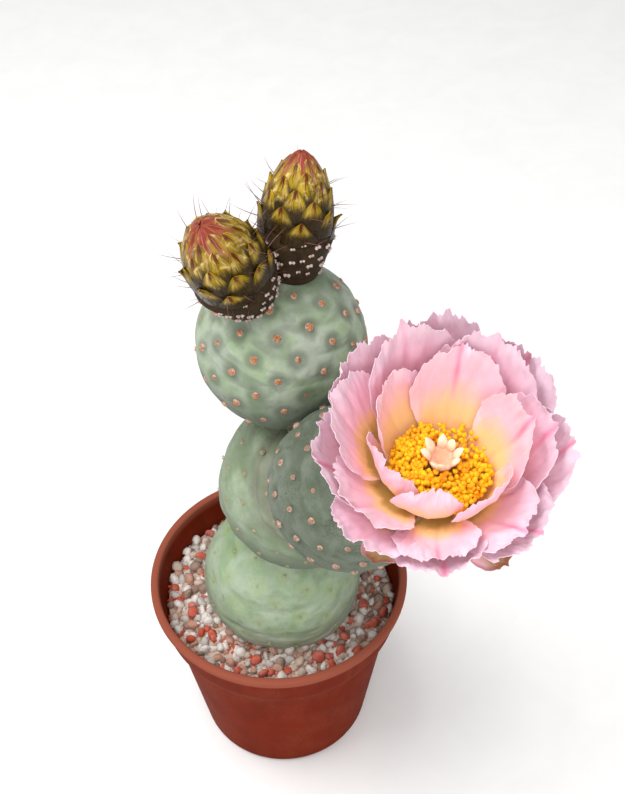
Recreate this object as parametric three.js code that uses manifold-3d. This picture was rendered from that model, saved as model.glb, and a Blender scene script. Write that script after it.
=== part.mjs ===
// A flowering cactus in a plastic nursery pot. Millimetres, +Z up. The origin is the centre of the
// pot's underside, +X is to the plant's right and -Y is its front, where the flower leans out.
import * as THREE from "three";
import { mergeVertices } from "three/addons/utils/BufferGeometryUtils.js";
import Module from "manifold-3d";

const wasm = await Module();
wasm.setup();

// ---------------------------------------------------------------- driving dimensions
const GAP = 0.3; // clearance that touching pieces keep
const GOLDEN_ANGLE = Math.PI * (3 - Math.sqrt(5));

const POT = {
  rimRadius: 35,
  height: 60,
  baseRadius: 24.3,
  wall: 1.2,
  floor: 1.6,
  lipHeight: 2.6,
  lipInnerRadius: 32.2,
  shoulderRadius: 30.4, // top of the tapered body
  shoulderHeight: 44.6,
  bandRadius: 32.6, // foot of the wide band under the lip
  bandHeight: 48.4,
  sides: 40,
  holeRadius: 2.5,
  holeRing: 17,
  holes: 6,
};
const MIX_TOP = 44;
const GRAVEL = { bottom: 44.3, top: 50, pebbles: 50, innerRing: 20.5, outerRing: 28, size: 2.4 };

// Each stem segment is a globe that sits in a shallow dimple against the one it grew from.
const SEGMENTS = {
  base: { centre: [1, 0, 60], radius: 21.3, growsFrom: null },
  middle: { centre: [7.7, -2.7, 100], radius: 21.3, growsFrom: "base" },
  top: { centre: [3.5, 6.9, 138.5], radius: 20, growsFrom: "middle" },
  side: { centre: [18.6, -27.6, 127], radius: 18.7, growsFrom: "middle" },
};

// A bud stands on the top segment at the direction root, and points along axis.
const BUDS = {
  bud_left: { root: [-0.34, -0.2, 0.92], axis: [-0.26, -0.33, 0.87], radius: 9.7, length: 28 },
  bud_right: { root: [0.14, 0.12, 0.98], axis: [0.11, 0.22, 0.97], radius: 8.8, length: 27 },
};
const BUD_RECEPTACLE_SHARE = 0.36; // of a bud's length

// The flower's frame has its origin where the petals join, with z along the flower's axis.
const RECEPTACLE_TOP = 0.9; // its blunt tip, above the point where the petals join
const FLOWER = { centre: [34, -46.8, 151.8], axis: [-0.02, -0.31, 0.95], receptacleRadius: 8.2 };
// A whorl of petals lies on a bowl, whose section runs from foot past pull to tip, as
// [radius, height]. tipLean and pullLean are what the back petals gain on that and the front
// petals lose. swing turns the whorl's front towards the plant's left.
const WHORLS = [
  {
    name: "inner_petal",
    count: 6,
    turn: 0.25,
    swing: 0.4,
    foot: [3.6, 1.6],
    pull: [13, 2.5],
    pullLean: [0, 0],
    tip: [14.5, 17.5],
    tipLean: [3.6, 3.2],
  },
  {
    name: "middle_petal",
    count: 7,
    turn: 0.1,
    swing: 0,
    foot: [5, 0.9],
    pull: [15, 1.2],
    pullLean: [3, -0.7],
    tip: [20.8, 17.5],
    tipLean: [0.8, 5.5],
  },
  {
    name: "outer_petal",
    count: 8,
    turn: 0,
    swing: 0,
    foot: [6.4, 0.2],
    pull: [18, -0.6],
    pullLean: [3.5, -1],
    tip: [23.8, 16.4],
    tipLean: [1.1, 4.9],
  },
  {
    name: "sepal",
    count: 5,
    turn: 0.2,
    swing: 0,
    foot: [7.6, -0.6],
    pull: [16, -3],
    pullLean: [0, 0],
    tip: [22, 5],
    tipLean: [1, 3],
  },
];
const PETAL = { thickness: 0.6, shareOfPitch: 0.46, broadest: 0.68, lengthSteps: 5, widthSteps: 4 };
// The anthers stand on a dome that falls by droop * radius^2 from its crown.
const STAMENS = { count: 32, ringInner: 2.2, ringOuter: 3, ringBottom: 1.5, spread: 9.2, crown: 9.8, droop: 0.035 };
const PISTIL = { styleRadius: 1.6, styleTop: 10.6, lobes: 8, lobeReach: 3.9, lobeTop: 13.2 };

const COLOURS = {
  pot: [0x8c3320, 0.45],
  mix: [0x4a3526, 0.95],
  gravel: [0xb9aea6, 0.9],
  stem: [0x93a98a, 0.6],
  receptacle: [0x2f2a1c, 0.6],
  bud: [0x7d7414, 0.45],
  petal: [0xf0b4c8, 0.55],
  sepal: [0xb98a72, 0.55],
  anther: [0xffb400, 0.7],
  pistil: [0xfff0cf, 0.5],
};

// ---------------------------------------------------------------- helpers
const vec = (a) => new THREE.Vector3(...a);
const Z = new THREE.Vector3(0, 0, 1);

function material([color, roughness]) {
  return new THREE.MeshStandardMaterial({ color, roughness, metalness: 0 });
}

// A closed three.js geometry, as a manifold-3d solid.
function solid(geometry) {
  const bare = geometry.clone();
  for (const name of Object.keys(bare.attributes)) {
    if (name !== "position") bare.deleteAttribute(name);
  }
  const merged = mergeVertices(bare, 1e-3);
  const kept = [];
  const index = merged.index.array;
  for (let i = 0; i < index.length; i += 3) {
    const [a, b, c] = index.slice(i, i + 3);
    if (a !== b && b !== c && c !== a) kept.push(a, b, c);
  }
  return new wasm.Manifold(
    new wasm.Mesh({
      numProp: 3,
      vertProperties: merged.attributes.position.array,
      triVerts: new Uint32Array(kept),
    }),
  );
}

// A manifold-3d solid, back as a geometry that three.js can draw.
function geometryOf(made) {
  const mesh = made.getMesh();
  const points = new Float32Array(mesh.numVert * 3);
  for (let i = 0; i < mesh.numVert; i += 1) {
    const at = i * mesh.numProp;
    points.set(mesh.vertProperties.subarray(at, at + 3), i * 3);
  }
  const geometry = new THREE.BufferGeometry();
  geometry.setAttribute("position", new THREE.BufferAttribute(points, 3));
  geometry.setIndex(new THREE.BufferAttribute(mesh.triVerts, 1));
  geometry.computeVertexNormals();
  return geometry;
}

// A turned shape about Z, from [radius, height] points that start and end on the axis, lowest first.
function turned(profile, sides) {
  const points = profile.map(([r, z]) => new THREE.Vector2(r, z));
  return new THREE.LatheGeometry(points, sides).rotateX(Math.PI / 2);
}

function ball(centre, radius, across = 24, along = 15) {
  return new THREE.SphereGeometry(radius, across, along).rotateX(Math.PI / 2).translate(...centre);
}

// A closed solid from rows of points, each row a ring round the shape, with its two ends capped.
function closedRings(rings) {
  const count = rings[0].length;
  const points = rings.flat();
  const faces = [];
  for (let i = 0; i + 1 < rings.length; i += 1) {
    for (let j = 0; j < count; j += 1) {
      const a = i * count + j;
      const b = i * count + ((j + 1) % count);
      faces.push(a, b, b + count, a, b + count, a + count);
    }
  }
  const last = (rings.length - 1) * count;
  for (let j = 1; j + 1 < count; j += 1) {
    faces.push(0, j + 1, j);
    faces.push(last, last + j, last + j + 1);
  }
  const geometry = new THREE.BufferGeometry().setFromPoints(points);
  geometry.setIndex(faces);
  geometry.computeVertexNormals();
  return geometry;
}

// A turned shape whose axis follows a curve: sections is a list of [share of the curve, radius].
function bentCone(curve, sections, sides) {
  const rings = sections.map(([share, radius]) => {
    const middle = curve.getPointAt(share);
    const turn = new THREE.Quaternion().setFromUnitVectors(Z, curve.getTangentAt(share));
    return Array.from({ length: sides }, (_, j) => {
      const angle = (2 * Math.PI * j) / sides;
      const spoke = new THREE.Vector3(Math.cos(angle), Math.sin(angle), 0);
      return spoke.multiplyScalar(radius).applyQuaternion(turn).add(middle);
    });
  });
  return closedRings(rings);
}

// ---------------------------------------------------------------- pot, mix and gravel
function potGeometry() {
  const p = POT;
  const lipFoot = p.height - p.lipHeight;
  const outside = [
    [0, 0],
    [p.baseRadius - 1.6, 0],
    [p.baseRadius - 0.4, 0.4],
    [p.baseRadius, 1.6],
    [p.shoulderRadius, p.shoulderHeight],
    [p.bandRadius, p.bandHeight],
    [p.rimRadius - 1, lipFoot - 0.4],
    [p.rimRadius, lipFoot + 0.4],
    [p.rimRadius, p.height - 0.8],
    [p.rimRadius - 0.8, p.height],
  ];
  const inside = [
    [p.lipInnerRadius + 0.6, p.height],
    [p.lipInnerRadius, p.height - 0.7],
    [p.rimRadius - 2.4, lipFoot - 0.6],
    [p.bandRadius - p.wall, p.bandHeight + 0.5],
    [p.shoulderRadius - p.wall, p.shoulderHeight + 0.6],
    [p.baseRadius - p.wall, p.floor],
    [0, p.floor],
  ];
  let made = solid(turned([...outside, ...inside], p.sides));
  for (let i = 0; i < p.holes; i += 1) {
    const angle = ((i + 0.5) * 2 * Math.PI) / p.holes;
    const hole = new THREE.CylinderGeometry(p.holeRadius, p.holeRadius, 3 * p.floor, 16)
      .rotateX(Math.PI / 2)
      .translate(p.holeRing * Math.cos(angle), p.holeRing * Math.sin(angle), p.floor / 2);
    made = made.subtract(solid(hole));
  }
  return geometryOf(made);
}

const buried = SEGMENTS.base;
const socket = () => solid(ball(buried.centre, buried.radius + GAP));

function mixGeometry() {
  const foot = POT.baseRadius - POT.wall - GAP;
  const neck = POT.shoulderRadius - POT.wall - 2 * GAP;
  const profile = [
    [0, POT.floor + GAP],
    [foot, POT.floor + GAP],
    [neck, MIX_TOP],
    [0, MIX_TOP],
  ];
  return geometryOf(solid(turned(profile, POT.sides)).subtract(socket()));
}

function gravelGeometry() {
  const neck = POT.shoulderRadius - POT.wall - 2 * GAP;
  const wide = POT.bandRadius - POT.wall - 2 * GAP;
  const profile = [
    [0, GRAVEL.bottom],
    [neck, GRAVEL.bottom],
    [neck, POT.shoulderHeight + 0.6],
    [wide, POT.bandHeight + 0.8],
    [wide, GRAVEL.top],
    [0, GRAVEL.top],
  ];
  let made = solid(turned(profile, POT.sides));
  for (let i = 0; i < GRAVEL.pebbles; i += 1) {
    const share = (i + 0.5) / GRAVEL.pebbles;
    const inner = GRAVEL.innerRing ** 2;
    const reach = Math.sqrt(inner + share * (GRAVEL.outerRing ** 2 - inner));
    const size = GRAVEL.size * (0.8 + 0.35 * Math.abs(Math.sin(5 * i)));
    const pebble = new THREE.IcosahedronGeometry(size, 0)
      .rotateX(i)
      .rotateY(2 * i)
      .translate(
        reach * Math.cos(i * GOLDEN_ANGLE),
        reach * Math.sin(i * GOLDEN_ANGLE),
        GRAVEL.top + 0.2 * Math.sin(3 * i),
      );
    made = made.add(solid(pebble));
  }
  return geometryOf(made.subtract(socket()));
}

// ---------------------------------------------------------------- stem segments
function segmentGeometry({ centre, radius, growsFrom }) {
  const globe = solid(ball(centre, radius));
  if (!growsFrom) return geometryOf(globe);
  const parent = SEGMENTS[growsFrom];
  return geometryOf(globe.subtract(solid(ball(parent.centre, parent.radius + GAP))));
}

// ---------------------------------------------------------------- buds
function budLine({ root, axis, length }) {
  const host = SEGMENTS.top;
  const start = vec(root).setLength(host.radius - 1.5).add(vec(host.centre));
  const end = vec(axis).setLength(length + 1.5).add(start);
  return new THREE.LineCurve3(start, end);
}

function budReceptacleGeometry(bud) {
  const r = bud.radius;
  const top = BUD_RECEPTACLE_SHARE;
  const sections = [
    [0, 0.5 * r],
    [top * 0.35, 0.68 * r],
    [top * 0.7, 0.87 * r],
    [top, 0.93 * r],
  ];
  const host = SEGMENTS.top;
  const cone = solid(bentCone(budLine(bud), sections, 18));
  return geometryOf(cone.subtract(solid(ball(host.centre, host.radius + GAP))));
}

function budTepalsGeometry(bud) {
  const r = bud.radius;
  const foot = BUD_RECEPTACLE_SHARE + GAP / bud.length;
  const outline = [0.93, 0.99, 1, 0.97, 0.9, 0.79, 0.63, 0.42, 0.12];
  const sections = outline.map((width, i) => {
    const share = foot + ((1 - foot) * i) / (outline.length - 1);
    return [share, width * r];
  });
  return bentCone(budLine(bud), sections, 18);
}

// ---------------------------------------------------------------- flower
function flowerReceptacleGeometry() {
  const host = SEGMENTS.side;
  const axis = vec(FLOWER.axis).normalize();
  const top = vec(FLOWER.centre).addScaledVector(axis, RECEPTACLE_TOP);
  const outwards = vec(FLOWER.centre).sub(vec(host.centre)).normalize();
  const start = outwards.multiplyScalar(host.radius - 1.5).add(vec(host.centre));
  const bend = vec(FLOWER.centre).addScaledVector(axis, -9);
  const curve = new THREE.QuadraticBezierCurve3(start, bend, top);
  const below = (height) => 1 + (height - RECEPTACLE_TOP) / curve.getLength();
  const r = FLOWER.receptacleRadius;
  const sections = [
    [0, 0.5 * r],
    [0.25, 0.64 * r],
    [0.5, 0.84 * r],
    [below(-4), r],
    [below(-3), 0.94 * r],
    [below(-1), 0.6 * r],
    [1, 0.3 * r],
  ];
  const cone = solid(bentCone(curve, sections, 20));
  return geometryOf(cone.subtract(solid(ball(host.centre, host.radius + GAP))));
}

// One petal: a thin patch of its whorl's bowl, narrow at the foot and broadest near the tip.
function petalGeometry(whorl, number) {
  const pitch = (2 * Math.PI) / whorl.count;
  const heading = pitch * (number + whorl.turn);
  const backness = Math.sin(heading + whorl.swing);
  const leaning = (point, lean) => new THREE.Vector2(
    point[0] + lean[0] * backness,
    point[1] + lean[1] * backness,
  );
  const section = new THREE.QuadraticBezierCurve(
    new THREE.Vector2(...whorl.foot),
    leaning(whorl.pull, whorl.pullLean),
    leaning(whorl.tip, whorl.tipLean),
  );
  const { thickness, shareOfPitch, broadest, lengthSteps, widthSteps } = PETAL;
  const rings = [];
  for (let i = 0; i <= lengthSteps; i += 1) {
    const along = i / lengthSteps;
    const middle = section.getPoint(along);
    const slope = section.getTangent(along);
    const past = Math.max(0, (along - broadest) / (1 - broadest));
    const swell = (0.62 + 0.38 * Math.sin((Math.PI / 2) * Math.min(1, along / broadest)));
    const half = pitch * shareOfPitch * swell * Math.sqrt(1 - 0.85 * past * past);
    const face = (side, j) => {
      const angle = heading + half * ((2 * j) / widthSteps - 1);
      const r = middle.x - (side * thickness * slope.y) / 2;
      const z = middle.y + (side * thickness * slope.x) / 2;
      return new THREE.Vector3(r * Math.cos(angle), r * Math.sin(angle), z);
    };
    const ring = [];
    for (let j = 0; j <= widthSteps; j += 1) ring.push(face(-1, j));
    for (let j = widthSteps; j >= 0; j -= 1) ring.push(face(1, j));
    rings.push(ring);
  }
  return closedRings(rings);
}

function stamensGeometry() {
  const { count, ringInner, ringOuter, ringBottom, spread, crown, droop } = STAMENS;
  const profile = [
    [ringInner, ringBottom],
    [ringOuter, ringBottom],
    [ringOuter, ringBottom + 0.9],
    [ringInner, ringBottom + 0.9],
    [ringInner, ringBottom],
  ];
  let made = solid(turned(profile, 24));
  for (let i = 0; i < count; i += 1) {
    const angle = i * GOLDEN_ANGLE;
    const reach = 3.8 + (spread - 3.8) * Math.sqrt((i + 0.5) / count);
    const foot = (ringInner + ringOuter) / 2;
    const out = new THREE.Vector3(Math.cos(angle), Math.sin(angle), 0);
    const start = out.clone().multiplyScalar(foot).setZ(ringBottom + 0.4);
    const end = out.clone().multiplyScalar(reach).setZ(crown - droop * reach * reach);
    const filament = bentCone(new THREE.LineCurve3(start, end), [[0, 0.4], [1, 0.25]], 4);
    const anther = new THREE.OctahedronGeometry(0.9, 0).translate(end.x, end.y, end.z);
    made = made.add(solid(filament)).add(solid(anther));
  }
  return geometryOf(made);
}

function pistilGeometry() {
  const { styleRadius, styleTop, lobes, lobeReach, lobeTop } = PISTIL;
  const style = new THREE.LineCurve3(new THREE.Vector3(0, 0, 1.5), new THREE.Vector3(0, 0, styleTop));
  let made = solid(bentCone(style, [[0, styleRadius], [0.7, styleRadius * 0.85], [1, styleRadius]], 12));
  for (let i = 0; i < lobes; i += 1) {
    const angle = (2 * Math.PI * i) / lobes;
    const out = new THREE.Vector3(Math.cos(angle), Math.sin(angle), 0);
    const start = out.clone().multiplyScalar(0.5).setZ(styleTop - 0.6);
    const end = out.clone().multiplyScalar(lobeReach).setZ(lobeTop);
    const lobe = bentCone(new THREE.LineCurve3(start, end), [[0, 0.6], [0.6, 0.75], [1, 0.35]], 6);
    made = made.add(solid(lobe));
  }
  return geometryOf(made);
}

// ---------------------------------------------------------------- assembly
function mesh(name, geometry, finish) {
  const made = new THREE.Mesh(geometry, material(finish));
  made.name = name;
  return made;
}

const plant = new THREE.Group();
plant.add(mesh("pot", potGeometry(), COLOURS.pot));
plant.add(mesh("potting_mix", mixGeometry(), COLOURS.mix));
plant.add(mesh("gravel", gravelGeometry(), COLOURS.gravel));

for (const [name, segment] of Object.entries(SEGMENTS)) {
  plant.add(mesh(`stem_segment_${name}`, segmentGeometry(segment), COLOURS.stem));
}
for (const [name, bud] of Object.entries(BUDS)) {
  plant.add(mesh(`${name}_receptacle`, budReceptacleGeometry(bud), COLOURS.receptacle));
  plant.add(mesh(`${name}_tepals`, budTepalsGeometry(bud), COLOURS.bud));
}
plant.add(mesh("flower_receptacle", flowerReceptacleGeometry(), COLOURS.receptacle));

const flower = new THREE.Group();
flower.position.copy(vec(FLOWER.centre));
flower.quaternion.setFromUnitVectors(Z, vec(FLOWER.axis).normalize());
for (const whorl of WHORLS) {
  const finish = whorl.name === "sepal" ? COLOURS.sepal : COLOURS.petal;
  for (let i = 0; i < whorl.count; i += 1) {
    flower.add(mesh(`${whorl.name}_${i + 1}`, petalGeometry(whorl, i), finish));
  }
}
flower.add(mesh("stamens", stamensGeometry(), COLOURS.anther));
flower.add(mesh("pistil", pistilGeometry(), COLOURS.pistil));
plant.add(flower);

export default plant;
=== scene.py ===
import math
import random

import bmesh
import bpy
from mathutils import Matrix, Vector


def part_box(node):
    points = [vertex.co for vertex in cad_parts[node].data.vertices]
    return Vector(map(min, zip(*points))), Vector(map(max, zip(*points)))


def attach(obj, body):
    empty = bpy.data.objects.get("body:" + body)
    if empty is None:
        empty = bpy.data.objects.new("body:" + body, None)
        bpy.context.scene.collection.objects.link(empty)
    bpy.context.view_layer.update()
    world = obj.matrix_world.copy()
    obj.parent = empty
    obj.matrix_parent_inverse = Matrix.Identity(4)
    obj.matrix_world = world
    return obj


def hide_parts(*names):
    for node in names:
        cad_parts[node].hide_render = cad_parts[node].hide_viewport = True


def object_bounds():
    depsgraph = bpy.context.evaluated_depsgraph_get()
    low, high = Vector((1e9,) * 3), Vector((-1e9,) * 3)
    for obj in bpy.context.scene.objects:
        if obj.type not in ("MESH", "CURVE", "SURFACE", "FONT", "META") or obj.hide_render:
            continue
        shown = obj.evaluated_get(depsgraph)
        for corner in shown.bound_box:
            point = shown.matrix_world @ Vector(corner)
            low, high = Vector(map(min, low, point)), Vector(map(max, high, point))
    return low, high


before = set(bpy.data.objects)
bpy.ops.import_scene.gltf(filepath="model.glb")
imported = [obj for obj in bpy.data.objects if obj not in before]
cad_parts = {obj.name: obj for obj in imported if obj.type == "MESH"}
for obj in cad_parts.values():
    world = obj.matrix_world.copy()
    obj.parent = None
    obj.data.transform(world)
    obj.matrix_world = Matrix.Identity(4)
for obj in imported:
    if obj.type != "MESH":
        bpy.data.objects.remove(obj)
CAD_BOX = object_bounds()

bl_info = {
    "name": "Potted Flowering Cactus",
    "version": (1, 0, 0),
    "blender": (4, 5, 0),
    "location": "3D View > Sidebar > Cactus",
    "description": "Builds a flowering cactus in its nursery pot round the packed frame",
    "category": "Object",
}

BODY = "root"
MM = 0.001
GOLDEN_ANGLE = math.pi * (3 - math.sqrt(5))

LIP_DEPTH = 2.6 * MM
GRAVEL_DEPTH = 2.9 * MM  # from the highest grain down to the bed
GRAVEL_SIDES = 120
GRAVEL_STEPS = 12
BUD_TAPER = (2.3, 0.72)  # powers of a closed bud's outline
BUD_FOOT = 0.34  # share of a bud's length that its receptacle takes
SCALE_THICKNESS = 0.35 * MM
ROOT_DEPTH = 1.5 * MM  # how far a bud or flower is rooted in the skin it stands on
STIGMA_LOBES = 8
STIGMA_TOP = 14 * MM
DIMPLE_WIDTH = 1.8 * MM
RING_WIDTH = 2.4 * MM
GROOVE_WIDTH = 1.3 * MM
GROOVE_DEPTH = 1.2 * MM
GROOVE_GAP = 11.5 * MM  # from the skin of the guest segment to the groove in its host
HAIR_RADIUS = 0.13 * MM
PETAL_GRID = {"Size X": 1.0, "Size Y": 1.0, "Vertices X": 97, "Vertices Y": 40}
SCALE_GRID = {"Size X": 1.0, "Size Y": 1.0, "Vertices X": 11, "Vertices Y": 16}

# Sections in mm: the flower's receptacle and a lobe of its stigma as (share of length, radius), and the
# column of its pistil as (radius, height).
FLOWER_FOOT = [
    (0, 4.1), (0.12, 4.7), (0.25, 5.3), (0.4, 6.2), (0.52, 7), (0.64, 7.8), (0.72, 8.1),
    (0.79, 7.7), (0.86, 6.2), (0.93, 4.2), (1, 2.4),
]
STIGMA_LOBE = [(0, 0.85), (0.25, 1.0), (0.5, 1.05), (0.7, 0.9), (0.86, 0.6), (0.96, 0.3), (1, 0.1)]
PISTIL_COLUMN = [(1.7, 1.5), (1.7, 4), (1.9, 8), (2.3, 9.6), (2.7, 10.9), (2.1, 11.2), (1.2, 10.6)]

# Where each lamp hangs from the middle of the plant, and how wide it is.
LAMPS = {
    "key": {"place": (-0.25, -0.02, 0.65), "width": 0.5},
    "fill": {"place": (0.02, -0.6, 0.38), "width": 0.6},
}

# Each stem segment: the one it grew from (host) and one that grows from it (guest), how worn, waxy and
# rough its skin is, how grey-mottled its green is and how much painted shade darkens all of it, how fresh
# its areoles are, its tilt and its seed. The underside entry is how much paler its underside is painted,
# as painted light, or below zero how much darker, as painted shade.
SEGMENTS = {
    "base": {
        "host": None, "guest": None, "age": 1.0, "bloom": 0.5, "rough": 0.9, "dull_and_shade": 0.0, "fresh": 0.0,
        "under": 0.4, "tilt": (0.12, -0.1, 0.6), "seed": 3,
    },
    "middle": {
        "host": "base", "guest": "side", "age": 0.75, "bloom": 0.5, "rough": 1.4, "dull_and_shade": 0.05, "fresh": 0.25,
        "under": -0.85, "tilt": (0.2, -0.35, 1.1), "seed": 11,
    },
    "top": {
        "host": "middle", "guest": None, "age": 0.1, "bloom": 0.85, "rough": 1.0, "dull_and_shade": 0.0, "fresh": 1.0,
        "under": -0.9, "tilt": (0.1, -0.15, 2.3), "seed": 23,
    },
    "side": {
        "host": "middle", "guest": None, "age": 0.25, "bloom": 0.35, "rough": 3.4, "dull_and_shade": 0.36, "fresh": 0.3,
        "under": -1.0, "tilt": (0.55, 0.5, 0.2), "seed": 37,
    },
}

# A bud stands on the top segment at the direction root, and points along axis.
BUDS = {
    "left": {"root": (-0.34, -0.2, 0.92), "axis": (-0.26, -0.33, 0.87), "seed": 5},
    "right": {"root": (0.14, 0.12, 0.98), "axis": (0.11, 0.22, 0.97), "seed": 8},
}

# A whorl lies on a bowl whose section runs from foot past pull to tip, as (radius, height) in mm.
# The leans are what the back petals gain on that and the front petals lose; swing turns the front
# to the plant's left. half is a petal's half width in degrees. curl bends the tips outwards, and
# front_curl does so for the petals at the front alone. throat and pink are the shares of a petal's
# length over which its olive foot fades and its pink blade begins.
WHORLS = {
    "inner_petal": {
        "count": 6, "turn": 0.25, "swing": 0.4, "foot": (3.6, 1.6), "pull": (13, 2.5), "pull_lean": (0, 0),
        "tip": (14.5, 17.5), "tip_lean": (3.6, 3.2), "half": 37, "ruffle": 1.1, "outer": 0.0,
        "throat": (0.14, 0.38), "pink": (0.5, 0.85),
        "curl": 0.2, "front_curl": -2.6,
    },
    "middle_petal": {
        "count": 7, "turn": 0.1, "swing": 0, "foot": (5, 0.9), "pull": (15, 1.2), "pull_lean": (3, -0.7),
        "tip": (20.8, 17.5), "tip_lean": (0.8, 5.5), "half": 33, "ruffle": 1.5, "outer": 0.35,
        "throat": (0.4, 0.54), "pink": (0.5, 0.68),
        "curl": 0.4, "front_curl": 0.4,
    },
    "outer_petal": {
        "count": 8, "turn": 0, "swing": 0, "foot": (6.4, 0.2), "pull": (18, -0.6), "pull_lean": (3.5, -1),
        "tip": (23.8, 16.4), "tip_lean": (1.1, 4.9), "half": 29, "ruffle": 1.8, "outer": 0.75,
        "throat": (0.4, 0.54), "pink": (0.42, 0.58),
        "curl": 0.5, "front_curl": 0.6,
    },
    "sepal": {
        "count": 5, "turn": 0.2, "swing": 0, "foot": (7.6, -0.6), "pull": (16, -3), "pull_lean": (0, 0),
        "tip": (22.6, 6), "tip_lean": (1, 3), "half": 17, "ruffle": 0.7, "outer": 1.0,
        "curl": 0.3, "front_curl": 0,
    },
}


# ---------------------------------------------------------------- node tree helpers
def srgb(red, green, blue):
    """A colour given as 0 to 255 in each channel, as the linear colour that nodes take."""
    channels = [c / 255 for c in (red, green, blue)]
    return tuple(c / 12.92 if c < 0.04045 else ((c + 0.055) / 1.055) ** 2.4 for c in channels)


def arithmetic(operation, swapped=False):
    """The method of Field that adds one math node. swapped puts the other operand first."""

    def work_out(field, other):
        values = (other, field) if swapped else (field, other)
        return field.graph.math(operation, *values)

    return work_out


class Field:
    """A number or vector that a node tree works out. Arithmetic on it adds math nodes."""

    def __init__(self, graph, socket):
        self.graph = graph
        self.socket = socket

    __add__ = arithmetic("ADD")
    __radd__ = arithmetic("ADD", swapped=True)
    __sub__ = arithmetic("SUBTRACT")
    __rsub__ = arithmetic("SUBTRACT", swapped=True)
    __mul__ = arithmetic("MULTIPLY")
    __rmul__ = arithmetic("MULTIPLY", swapped=True)
    __truediv__ = arithmetic("DIVIDE")
    __rtruediv__ = arithmetic("DIVIDE", swapped=True)
    __pow__ = arithmetic("POWER")


class Graph:
    """Writes one node tree, for geometry or for shading."""

    def __init__(self, tree):
        self.tree = tree
        self.material = None
        self.tree.nodes.clear()
        self.entry = None

    def node(self, kind, inputs=None, **settings):
        made = self.tree.nodes.new(kind)
        for key, value in settings.items():
            setattr(made, key, value)
        for key, value in (inputs or {}).items():
            self.put(made.inputs[key], value)
        return made

    def put(self, socket, value):
        if isinstance(value, Field):
            self.tree.links.new(value.socket, socket)
        elif socket.type == "RGBA" and len(value) == 3:
            socket.default_value = (*value, 1)
        else:
            socket.default_value = value

    def add(self, kind, inputs=None, output=0, **settings):
        return Field(self, self.node(kind, inputs, **settings).outputs[output])

    def math(self, operation, *values):
        made = self.node("ShaderNodeMath", operation=operation)
        for socket, value in zip(made.inputs, values):
            self.put(socket, value)
        return Field(self, made.outputs[0])

    def vector_math(self, operation, *values, output=0):
        made = self.node("ShaderNodeVectorMath", operation=operation)
        for socket, value in zip(made.inputs, values):
            self.put(socket, value)
        return Field(self, made.outputs[output])

    def scaled(self, vector, factor):
        made = self.node("ShaderNodeVectorMath", {"Vector": vector, "Scale": factor}, operation="SCALE")
        return Field(self, made.outputs[0])

    def combine(self, x, y, z):
        return self.add("ShaderNodeCombineXYZ", {"X": x, "Y": y, "Z": z})

    def separate(self, vector):
        made = self.node("ShaderNodeSeparateXYZ", {"Vector": vector})
        return [Field(self, socket) for socket in made.outputs]

    def step(self, value, low, high, start=0.0, end=1.0):
        """Goes smoothly from start to end as value goes from low to high."""
        inputs = {"Value": value, "From Min": low, "From Max": high, "To Min": start, "To Max": end}
        return self.add("ShaderNodeMapRange", inputs, interpolation_type="SMOOTHSTEP")

    def bump_at(self, value, centre, width):
        """One where value is centre, falling to zero a few widths away from it."""
        off = (value - centre) / width
        return self.math("EXPONENT", 0 - off * off)

    def noise(self, vector, scale, detail=2.0, roughness=0.5, distortion=0.0):
        inputs = {
            "Vector": vector, "Scale": scale, "Detail": detail,
            "Roughness": roughness, "Distortion": distortion,
        }
        return self.add("ShaderNodeTexNoise", inputs)

    def mix(self, factor, first, second, blend="MIX"):
        made = self.node("ShaderNodeMix", data_type="RGBA", blend_type=blend)
        for place, value in ((0, factor), (6, first), (7, second)):
            self.put(made.inputs[place], value)
        return Field(self, made.outputs[2])

    def declare(self, inputs, outputs):
        """Gives a node group its named sockets. inputs are (name, type, default)."""
        for name, kind, value in inputs:
            socket = self.tree.interface.new_socket(name, in_out="INPUT", socket_type=f"NodeSocket{kind}")
            if value is not None:
                socket.default_value = (*value, 1) if kind == "Color" else value
        for name, kind in outputs:
            self.tree.interface.new_socket(name, in_out="OUTPUT", socket_type=f"NodeSocket{kind}")
        self.entry = self.node("NodeGroupInput")

    def given(self, name):
        return Field(self, self.entry.outputs[name])

    def result(self, values):
        self.node("NodeGroupOutput", values)
        return self.tree


def geometry_graph(name, inputs):
    """An empty geometry tree with these inputs. Each is (name, type, default)."""
    graph = Graph(bpy.data.node_groups.new(name, "GeometryNodeTree"))
    graph.declare(inputs, [("Geometry", "Geometry")])
    return graph


def run_tree(name, tree, inputs, mesh=None, thickness=None):
    """Puts a geometry tree on an object, and keeps what it makes there as a plain mesh."""
    piece = bpy.data.objects.new(name, mesh or bpy.data.meshes.new(name))
    bpy.context.scene.collection.objects.link(piece)
    modifier = piece.modifiers.new("Shape", "NODES")
    modifier.node_group = tree
    for item in tree.interface.items_tree:
        if item.item_type == "SOCKET" and item.in_out == "INPUT" and item.name in inputs:
            modifier[item.identifier] = inputs[item.name]
    if thickness:
        shell = piece.modifiers.new("Thickness", "SOLIDIFY")
        shell.thickness = thickness
        shell.offset = 0
    graph = bpy.context.evaluated_depsgraph_get()
    made = bpy.data.meshes.new_from_object(
        piece.evaluated_get(graph), preserve_all_data_layers=True, depsgraph=graph
    )
    piece.modifiers.clear()
    piece.data = made
    made.name = name
    if not made.polygons:
        raise RuntimeError(f"{name} came out empty")
    return piece


def claim(piece, slot, *nodes):
    """The piece rides on the plant's one body and stands for these nodes, which are hidden; slot is not used.
    """
    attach(piece, BODY)
    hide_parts(*nodes)


# ---------------------------------------------------------------- places, from the frame
def globe_of(segment):
    """Centre and radius of a stem segment. Its top and its widest part are never cut."""
    low, high = (Vector(corner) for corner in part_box(f"stem_segment_{segment}"))
    radius = (high.x - low.x) / 2
    return Vector(((low.x + high.x) / 2, (low.y + high.y) / 2, high.z - radius)), radius


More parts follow.
